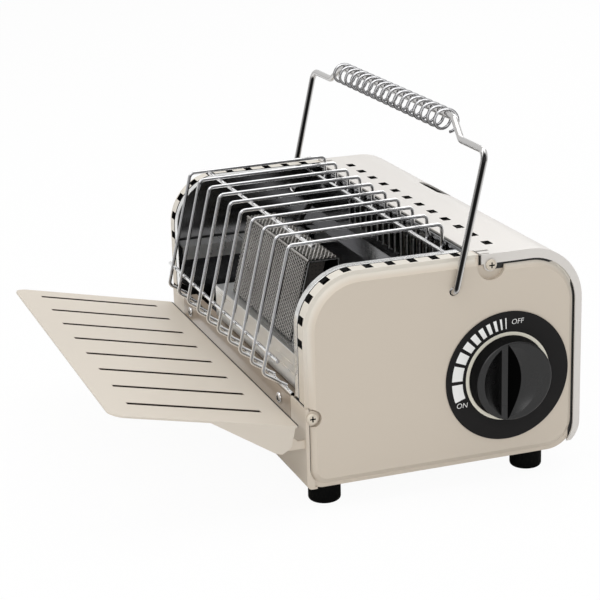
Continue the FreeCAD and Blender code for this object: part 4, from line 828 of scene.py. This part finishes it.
def make_burner(sizes, coat):
    """The mesh over the burner's front and top, its folded edge, and the burner's box and ledge."""
    low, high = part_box("burner_mesh")
    box_low, box_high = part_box("burner_box")
    foot = Vector((box_low.x, box_low.y, box_low.z))
    crest = Vector((box_low.x, box_low.y + BURNER_LEAN * MM, box_high.z))
    rise = crest - foot
    up = rise.normalized()
    right = Vector((1, 0, 0))
    out = right.cross(up)
    width = (box_high.x - box_low.x) / MM
    lift = out * MESH_LIFT * MM
    front = mesh_sheet("front_sheet", foot + lift, right, up, out, width, rise.length / MM, coat)
    back = Vector((0, 1, 0))
    depth = (box_high.y - crest.y) / MM
    above = Vector((0, 0, 1))
    top = mesh_sheet("top_sheet", crest + above * MESH_LIFT * MM, right, back, above, width, depth, coat)
    piece_from("burner_mesh_front", front, "housing", "mesh_steel", coat["burner mesh"], "burner_mesh")
    piece_from("burner_mesh_top", top, "housing", "mesh_steel", coat["burner mesh"])
    edge = [Vector((low.x, crest.y, crest.z)), Vector((high.x, crest.y, crest.z))]
    fold = grown(path_mesh(edge), "wire_row", Wire_Radius=FOLD_RADIUS * MM, Sides=10, Finish=coat["burner mesh"])
    piece_from("burner_mesh_fold", fold, "housing", "mesh_steel", None)
    case = softened("burner_box", "housing", "bright_steel", coat["bright steel"], 0.15, 1)
    # painted shade: the box's faces behind the mesh take the black deep shade finish, so the mesh's openings look dark
    marked_faces(case.data, coat["deep shade"], lambda place, normal: normal.y < -0.5 or normal.z > 0.7)
    softened("burner_ledge", "housing", "bright_steel", coat["bright steel"], 0.3, 2)


# Divider: fins beside its louvres

LOUVRE_COUNT = 14
LOUVRE_PITCH = 9.5
LOUVRE_MIDDLE_X = 10.0
LOUVRE_LOW = 112.0
LOUVRE_TALL = 16.0
LOUVRE_WIDE = 4.5
LOUVRE_Y = 15.2
FIN_END = 0.6
FIN_SHAPE = [(0.0, 0.0), (1.2, -1.1), (3.2, -1.9), (3.0, -2.3), (0.9, -1.5), (-0.3, -0.3)]


def make_louvres(sizes, coat):
    """The divider's dark sheet, and a bent fin at the side of each slot."""
    softened("divider_wall", "housing", "dark_steel", coat["divider steel"], 0.2, 1)
    x = LOUVRE_MIDDLE_X - (LOUVRE_COUNT - 1) / 2 * LOUVRE_PITCH - LOUVRE_WIDE / 2
    verts = [at(x + a, LOUVRE_Y + b, LOUVRE_LOW + level) for level in (FIN_END, LOUVRE_TALL - FIN_END)
             for a, b in FIN_SHAPE]
    count = len(FIN_SHAPE)
    faces = [tuple(range(count)), tuple(range(2 * count - 1, count - 1, -1))]
    faces += [(k, k + count, (k + 1) % count + count, (k + 1) % count) for k in range(count)]
    fin = mesh_of("fin", verts, faces)
    outward(fin)
    fins = grown(fin, "grid_copies", Across=(LOUVRE_PITCH * MM, 0, 0), Across_Count=LOUVRE_COUNT, Up_Count=1,
                 Finish=coat["bright steel"])
    flat_shaded(fins)
    piece_from("divider_fins", fins, "housing", "dark_steel", None)


def outward(mesh):
    form = bmesh.new()
    form.from_mesh(mesh)
    bmesh.ops.recalc_face_normals(form, faces=form.faces)
    form.to_mesh(mesh)
    form.free()


def flat_shaded(mesh):
    for polygon in mesh.polygons:
        polygon.use_smooth = False


# Dial and knob

DIAL_Y = 37.1
DIAL_Z = 64.5
MARK_WIDTHS = [1.2, 2.0, 3.2, 4.2, 5.2, 6.4, 8.0, 11.0, 15.6, 18.0]
MARK_GAP = 3.7
MARK_START = 1.9
MARK_INNER = 28.3
MARK_OUTER = 34.8
MARK_THICK = 0.06


def make_dial(sizes, coat):
    """The black ring with its growing white marks and the two words."""
    softened("dial_ring", "housing", "dial_black", coat["ring black"], 0.12, 1)
    face = node_high("dial_ring").x
    verts = []
    faces = []
    angle = MARK_START
    for width in MARK_WIDTHS:
        add_mark(verts, faces, face, angle, angle + width)
        angle += width + MARK_GAP
    marks = mesh_of("marks", verts, faces)
    outward(marks)
    piece_from("dial_marks", marks, "housing", "dial_black", coat["mark white"])
    add_word("OFF", face, 5.8, 31.9, coat)
    add_word("ON", face, -28.7, -14.1, coat)


def add_mark(verts, faces, face, start, end):
    """One white block: a slice of the ring between two angles, counted from the top to the tray's side."""
    steps = max(1, round((end - start) / 3))
    first = len(verts)
    for k in range(steps + 1):
        turn = math.radians(start + (end - start) * k / steps)
        for radius in (MARK_INNER, MARK_OUTER):
            flat = at(0, DIAL_Y - radius * math.sin(turn), DIAL_Z + radius * math.cos(turn))
            verts.append(Vector((face, flat.y, flat.z)))
            verts.append(Vector((face + MARK_THICK * MM, flat.y, flat.z)))
    for k in range(steps):
        a = first + 4 * k
        b = a + 4
        faces += [(a + 1, a + 3, b + 3, b + 1), (a, b, b + 2, a + 2), (a, a + 1, b + 1, b),
                  (a + 2, b + 2, b + 3, a + 3)]
    last = first + 4 * steps
    faces += [(first, first + 2, first + 3, first + 1), (last, last + 1, last + 3, last + 2)]


def add_word(word, face, y, z, coat):
    """A small printed word that reads upright on the dial end."""
    letters = bpy.data.curves.new(word, "FONT")
    letters.body = word
    letters.size = 4.4 * MM
    letters.align_x = "CENTER"
    letters.align_y = "CENTER"
    letters.extrude = MARK_THICK / 2 * MM
    letters.shear = 0.15
    letters.offset = -0.05 * MM
    mesh = baked(holder_of(word, letters))
    upright = Matrix(((0, 0, 1, 0), (1, 0, 0, 0), (0, 1, 0, 0), (0, 0, 0, 1)))
    place = at(0, DIAL_Y + y, DIAL_Z + z)
    mesh.transform(Matrix.Translation((face + MARK_THICK / 2 * MM, place.y, place.z)) @ upright)
    piece_from("dial_word_" + word.lower(), mesh, "housing", "dial_black", coat["mark white"])


COLLAR_INNER = 24.4
COLLAR_OUTER = 26.3
COLLAR_RISE = 0.4
COLLAR_DROP = 0.5
COLLAR_STEPS = 72
KNOB_FLATTER = 0.52
KNOB_RIDGE_HALF = 1.9
KNOB_RIDGE_ASIDE = 6.6
HOLLOW_HALF = 22.5
HOLLOW_WIDE = 10.0
STEM_SHOWN = 2.0
STEM_SHORTER = 0.15
KNOB_SIDE_FROM = 22.6
KNOB_ROOM = 0.02


def knob_place(along, half):
    """Where a place across the knob goes when its ridge stands nearer to the tray."""
    before, after = -KNOB_RIDGE_HALF - KNOB_RIDGE_ASIDE, KNOB_RIDGE_HALF - KNOB_RIDGE_ASIDE
    if along < -KNOB_RIDGE_HALF:
        return -half + (along + half) * (before + half) / (half - KNOB_RIDGE_HALF)
    if along > KNOB_RIDGE_HALF:
        return half - (half - along) * (half - after) / (half - KNOB_RIDGE_HALF)
    return along - KNOB_RIDGE_ASIDE


def reshape_knob(mesh):
    """The photographed knob: flatter than its room, with the ridge off its middle."""
    foot = min(vertex.co.x for vertex in mesh.vertices)
    middle = at(0, DIAL_Y, DIAL_Z)
    reach = max(abs(vertex.co.y - middle.y) for vertex in mesh.vertices) + KNOB_ROOM * MM
    for vertex in mesh.vertices:
        y = vertex.co.y - middle.y
        z = vertex.co.z - middle.z
        aside = knob_place(y / MM, reach / MM) * MM
        z *= math.sqrt((reach ** 2 - aside ** 2) / (reach ** 2 - y ** 2))
        vertex.co = (foot + (vertex.co.x - foot) * KNOB_FLATTER, middle.y + aside, middle.z + z)
    mesh.update()


def on_knob_side(place, normal):
    return abs(normal.x) < 0.5 and math.hypot(place.y - DIAL_Y, place.z - DIAL_Z) > KNOB_SIDE_FROM


def make_knob(sizes, coat):
    """The knob, and the panel's lip that shows round its foot, in a cream lighter than the panel paint as a painted
    highlight.
    """
    knob = softened("control_knob", "knob", "knob_black", coat["knob black"], 0.3, 3, 25)
    reshape_knob(knob.data)
    # the knob's side takes the near-black deep shade finish as the knob's own black, rough so that it mirrors little
    marked_faces(knob.data, coat["deep shade"], on_knob_side)
    stem = softened("valve_stem", "knob", "gas_brass", coat["turned brass"], 0.1, 1)
    end = node_low("control_knob").x + STEM_SHOWN * MM
    for vertex in stem.data.vertices:
        if vertex.co.x > end:
            vertex.co.x = end + (vertex.co.x - end) * STEM_SHORTER
    face = node_high("dial_ring").x
    verts = []
    faces = []
    for k in range(COLLAR_STEPS):
        turn = math.tau * k / COLLAR_STEPS
        for radius, rise in ((COLLAR_INNER, -COLLAR_DROP), (COLLAR_INNER, COLLAR_RISE), (COLLAR_OUTER, COLLAR_RISE),
                             (COLLAR_OUTER, -COLLAR_DROP)):
            flat = at(0, DIAL_Y + radius * math.cos(turn), DIAL_Z + radius * math.sin(turn))
            verts.append(Vector((face + rise * MM, flat.y, flat.z)))
        here = 4 * k
        there = 4 * ((k + 1) % COLLAR_STEPS)
        faces += [(here + side, here + (side + 1) % 4, there + (side + 1) % 4, there + side) for side in range(4)]
    lip = mesh_of("lip", verts, faces)
    outward(lip)
    # painted highlight: the lip's cream is lighter than the panel paint
    piece_from("knob_lip", lip, "housing", "panel_paint", coat["lip paint"])


# Everything that keeps its CAD shape

KEPT = {
    "screw plating": ["foot_screws", "tray_pins"],
    "floor steel": ["floor_reflector", "ledge_legs"],
    "bright steel": ["side_shelf"],
    "dark paint": ["collar_bracket", "cartridge_cradle"],
    "panel paint": ["tray_brackets"],
    "turned brass": ["gas_jet", "gas_pipe", "valve_body"],
    "cast alloy": ["regulator", "cartridge_collar", "mixing_tube"],
    "plaque ceramic": ["ceramic_plaque"],
    "ring black": ["piezo_igniter"],
}
SCREW_BODIES = {"rail_screws": ("screw plating", 1), "pan_corner_screws": ("screw paint", 0),
                "cover_pivot_screws": ("screw paint", 0)}
CROSS_HALF = 1.75
CROSS_DEPTH = 1.05
HEAD_SKIN = 0.1


def make_inner_works(sizes, coat):
    for finish, names in KEPT.items():
        for name in names:
            clear_and_give(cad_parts[name], coat[finish])


def make_screws(sizes, coat):
    """The visible cross head screws, mirrored at both ends, with their crosses in shade."""
    for name, (finish, axis) in SCREW_BODIES.items():
        piece = softened(name, "housing", "screw_steel", coat[finish], 0.08, 1, 40)
        low, high = [(corner - MIDDLE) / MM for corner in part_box(name)]
        middle = Vector((high.x - (high.z - low.z) / 2, (low.y + high.y) / 2, (low.z + high.z) / 2))

        def in_cross(place, normal):
            place = Vector((abs(place.x), place.y, place.z))
            under_top = high.x - place.x if axis == 0 else place.y - low.y
            aside = place - middle
            aside[axis] = 0
            return HEAD_SKIN < under_top < CROSS_DEPTH + HEAD_SKIN and aside.length < CROSS_HALF

        # painted shade: the crosses' faces take the black deep shade finish
        marked_faces(piece.data, coat["deep shade"], in_cross)


# Stage: camera, lights and floor

VIEW_AZIMUTH = 69.98
VIEW_ELEVATION = 17.35
VIEW_ROLL = -1.37
VIEW_DISTANCE = 1152.76
VIEW_FOCAL = 1857.98
VIEW_AXIS = (318.0, 298.09)
VIEW_SLIDE = (4.568, 2.061)
VIEW_TARGET = (0.0, -33.4, 80.0)
PICTURE = 600
SENSOR = 36.0


def make_camera():
    """The photograph's viewpoint, worked out once from the object's own straight edges."""
    azimuth = math.radians(VIEW_AZIMUTH)
    elevation = math.radians(VIEW_ELEVATION)
    roll = math.radians(VIEW_ROLL)
    back = Vector((math.sin(azimuth) * math.cos(elevation), -math.cos(azimuth) * math.cos(elevation),
                   math.sin(elevation)))
    right = Vector((math.cos(azimuth), math.sin(azimuth), 0))
    up = back.cross(right)
    rolled_right = right * math.cos(roll) + up * math.sin(roll)
    rolled_up = up * math.cos(roll) - right * math.sin(roll)
    data = bpy.data.cameras.new("camera")
    data.sensor_width = SENSOR
    data.lens = VIEW_FOCAL * SENSOR / PICTURE
    data.shift_x = (PICTURE / 2 - VIEW_AXIS[0]) / PICTURE
    data.shift_y = (VIEW_AXIS[1] - PICTURE / 2) / PICTURE
    data.clip_start = 0.05
    data.clip_end = 50
    camera = bpy.data.objects.new("camera", data)
    place = at(*VIEW_TARGET) + (rolled_right * VIEW_SLIDE[0] + rolled_up * VIEW_SLIDE[1] + back * VIEW_DISTANCE) * MM
    turned = Matrix((rolled_right, rolled_up, back)).transposed().to_4x4()
    camera.matrix_world = Matrix.Translation(place) @ turned
    bpy.context.scene.collection.objects.link(camera)
    bpy.context.scene.camera = camera


LAMPS = [
    ("key", (0.1, -1.1, 1.6), 1.4, 15.0),
    ("side", (1.7, -0.5, 0.9), 1.2, 9.0),
    ("top", (0.0, 0.4, 1.9), 1.6, 12.0),
    ("rim", (-1.2, 1.2, 1.1), 1.0, 6.0),
]


def make_lamps():
    for name, place, size, power in LAMPS:
        data = bpy.data.lights.new(name, "AREA")
        data.shape = "SQUARE"
        data.size = size
        data.energy = power
        lamp = bpy.data.objects.new(name, data)
        lamp.location = place
        lamp.rotation_mode = "QUATERNION"
        lamp.rotation_quaternion = (Vector((0, 0, 0.08)) - Vector(place)).to_track_quat("-Z", "Y")
        bpy.context.scene.collection.objects.link(lamp)


def seen_directly(tree):
    """A mask of the rays that should see plain white: the camera's, reflected and passed ones."""
    rays = add_node(tree, "ShaderNodeLightPath").outputs
    mirrored = worked(tree, "MAXIMUM", rays["Is Camera Ray"], rays["Is Glossy Ray"])
    return worked(tree, "MAXIMUM", mirrored, rays["Is Transmission Ray"])


WORLD_FILL = 0.55


def make_world():
    world = bpy.data.worlds.new("studio")
    bpy.context.scene.world = world
    world.use_nodes = True
    tree = world.node_tree
    tree.nodes.clear()
    seen = add_node(tree, "ShaderNodeBackground", {"Strength": 1.0})
    fill = add_node(tree, "ShaderNodeBackground", {"Strength": WORLD_FILL})
    mix = add_node(tree, "ShaderNodeMixShader", {0: seen_directly(tree), 1: fill.outputs[0], 2: seen.outputs[0]})
    add_node(tree, "ShaderNodeOutputWorld", {0: mix.outputs[0]})


FLOOR_GLOW = 0.95
FLOOR_DROP = 0.0002


def make_floor():
    """A plain pale floor that keeps a faint shadow."""
    bpy.ops.mesh.primitive_plane_add(size=8.0, location=(0, 0, -FLOOR_DROP))
    floor = bpy.context.object
    floor.name = "floor"
    finish, tree, surface = new_finish("floor white")
    surface.inputs["Base Color"].default_value = (0.86, 0.86, 0.86, 1)
    surface.inputs["Roughness"].default_value = 0.9
    glow = add_node(tree, "ShaderNodeEmission")
    path = add_node(tree, "ShaderNodeLightPath")
    share = worked(tree, "MULTIPLY", path.outputs["Is Camera Ray"], FLOOR_GLOW)
    mix = add_node(tree, "ShaderNodeMixShader", {0: share, 1: surface.outputs[0], 2: glow.outputs[0]})
    tree.links.new(mix.outputs[0], tree.nodes["Material Output"].inputs["Surface"])
    floor.data.materials.append(finish)


CARDS = [
    ("card_left", (-0.9, -1.5, 0.5), 0.5, 1.6),
    ("card_right", (1.0, 1.3, 0.6), 0.5, 1.6),
    ("card_over", (0.5, -0.4, 2.2), 0.35, 1.8),
]


def make_cards():
    """Dark cards beside the object, which only reflections see, as a studio has for bright wire."""
    finish, _, surface = new_finish("card black")
    surface.inputs["Base Color"].default_value = (0.02, 0.02, 0.02, 1)
    surface.inputs["Roughness"].default_value = 1.0
    for name, place, wide, tall in CARDS:
        half = wide / 2
        mesh = mesh_of(name, [(-half, -tall / 2, 0), (half, -tall / 2, 0), (half, tall / 2, 0), (-half, tall / 2, 0)],
                       [(0, 1, 2, 3)])
        card = holder_of(name, mesh)
        card.location = place
        card.rotation_mode = "QUATERNION"
        card.rotation_quaternion = (Vector((0, 0, 0.1)) - Vector(place)).to_track_quat("-Z", "Y")
        mesh.materials.append(finish)
        card.visible_camera = False
        card.visible_diffuse = False
        card.visible_shadow = False


def make_stage(sizes, coat):
    scene = bpy.context.scene
    scene.view_settings.view_transform = "Standard"
    make_camera()
    make_lamps()
    make_world()
    make_floor()
    make_cards()


# The add-on

def thickness(name, description, millimetres):
    return FloatProperty(name=name, description=description, default=millimetres * MM, unit="LENGTH", precision=4)


def paint(name, description, *levels):
    return FloatVectorProperty(name=name, description=description, default=colour(*levels), subtype="COLOR", size=3)


class HeaterSizes(bpy.types.PropertyGroup):
    """Sizes and colours that a user may change."""
    guard_wire: thickness("Guard wire", "Thickness of the guard's wires", 2.2)
    bail_wire: thickness("Bail wire", "Thickness of the bail's wire", 4.0)
    grip_wire: thickness("Grip wire", "Thickness of the grip's coil", 1.8)
    grip_turns: IntProperty(name="Grip turns", description="Turns of the grip's coil", default=17, min=4, max=30)
    panel_colour: paint("Panel colour", "Paint of the end panels and the pan", 202, 191, 176)
    # The rim colour is painted light: a lighter copy of the panel paint for the upper rims and flanges
    rim_painted_light_colour: paint("Rim colour", "Paint of the end panels' rims and flanges", 214, 208, 197)
    cover_colour: paint("Cover colour", "Paint of the cartridge cover", 216, 212, 207)
    tray_colour: paint("Tray colour", "Paint of the front tray", 207, 198, 185)


def run(maker, context):
    sizes = context.scene.heater_sizes
    maker(sizes, finishes(sizes))
    return {"FINISHED"}


class HEATER_OT_stage(bpy.types.Operator):
    """Set up the camera, the lamps and the floor"""
    bl_idname = "heater.stage"
    bl_label = "Stage"

    def execute(self, context):
        return run(make_stage, context)


class HEATER_OT_end_panels(bpy.types.Operator):
    """Make the two drawn end panels and their bright liners"""
    bl_idname = "heater.end_panels"
    bl_label = "End panels"

    def execute(self, context):
        return run(make_end_panels, context)


class HEATER_OT_pan_and_rail(bpy.types.Operator):
    """Make the base pan and the front rail"""
    bl_idname = "heater.pan_and_rail"
    bl_label = "Pan and rail"

    def execute(self, context):
        return run(make_pan_and_rail, context)


class HEATER_OT_feet(bpy.types.Operator):
    """Make the four rubber feet"""
    bl_idname = "heater.feet"
    bl_label = "Feet"

    def execute(self, context):
        return run(make_feet, context)


class HEATER_OT_cover(bpy.types.Operator):
    """Make the cartridge cover"""
    bl_idname = "heater.cover"
    bl_label = "Cartridge cover"

    def execute(self, context):
        return run(make_cover, context)


class HEATER_OT_tray(bpy.types.Operator):
    """Make the slotted front tray"""
    bl_idname = "heater.tray"
    bl_label = "Front tray"

    def execute(self, context):
        return run(make_tray, context)


class HEATER_OT_guard(bpy.types.Operator):
    """Make the wire guard with its rails and welds"""
    bl_idname = "heater.guard"
    bl_label = "Guard"

    def execute(self, context):
        return run(make_guard, context)


class HEATER_OT_bail(bpy.types.Operator):
    """Make the wire bail"""
    bl_idname = "heater.bail"
    bl_label = "Bail"

    def execute(self, context):
        return run(make_bail, context)


class HEATER_OT_grip_spring(bpy.types.Operator):
    """Make the coil spring grip"""
    bl_idname = "heater.grip_spring"
    bl_label = "Spring grip"

    def execute(self, context):
        return run(make_grip_spring, context)


class HEATER_OT_burner(bpy.types.Operator):
    """Make the burner's mesh, box and ledge"""
    bl_idname = "heater.burner"
    bl_label = "Burner"

    def execute(self, context):
        return run(make_burner, context)


class HEATER_OT_louvres(bpy.types.Operator):
    """Make the divider and the fins of its louvres"""
    bl_idname = "heater.louvres"
    bl_label = "Louvres"

    def execute(self, context):
        return run(make_louvres, context)


class HEATER_OT_dial(bpy.types.Operator):
    """Make the dial ring, its marks and its words"""
    bl_idname = "heater.dial"
    bl_label = "Dial"

    def execute(self, context):
        return run(make_dial, context)


class HEATER_OT_knob(bpy.types.Operator):
    """Make the control knob"""
    bl_idname = "heater.knob"
    bl_label = "Knob"

    def execute(self, context):
        return run(make_knob, context)


class HEATER_OT_inner_works(bpy.types.Operator):
    """Give the reflector, the brackets and the gas train their finishes"""
    bl_idname = "heater.inner_works"
    bl_label = "Inner works"

    def execute(self, context):
        return run(make_inner_works, context)


class HEATER_OT_screws(bpy.types.Operator):
    """Make the cross head screws of the rail, the pan and the cover"""
    bl_idname = "heater.screws"
    bl_label = "Screws"

    def execute(self, context):
        return run(make_screws, context)


OPERATORS = (HEATER_OT_stage, HEATER_OT_end_panels, HEATER_OT_pan_and_rail, HEATER_OT_feet, HEATER_OT_cover,
             HEATER_OT_tray, HEATER_OT_guard, HEATER_OT_bail, HEATER_OT_grip_spring, HEATER_OT_burner,
             HEATER_OT_louvres, HEATER_OT_dial, HEATER_OT_knob, HEATER_OT_screws, HEATER_OT_inner_works)


class HEATER_PT_panel(bpy.types.Panel):
    """Lists the heater's sizes, colours and pieces"""
    bl_idname = "HEATER_PT_panel"
    bl_label = "Gas heater"
    bl_space_type = "VIEW_3D"
    bl_region_type = "UI"
    bl_category = "Heater"

    def draw(self, context):
        sizes = context.scene.heater_sizes
        for name in HeaterSizes.__annotations__:
            self.layout.prop(sizes, name)
        for operator in OPERATORS:
            self.layout.operator(operator.bl_idname)


def register():
    for made in (HeaterSizes, *OPERATORS, HEATER_PT_panel):
        bpy.utils.register_class(made)
    bpy.types.Scene.heater_sizes = PointerProperty(type=HeaterSizes)


def unregister():
    del bpy.types.Scene.heater_sizes
    for made in (HEATER_PT_panel, *reversed(OPERATORS), HeaterSizes):
        bpy.utils.unregister_class(made)


def main():
    register()
    for operator in OPERATORS:
        group, name = operator.bl_idname.split(".")
        getattr(getattr(bpy.ops, group), name)()


if __name__ == "__main__":
    main()
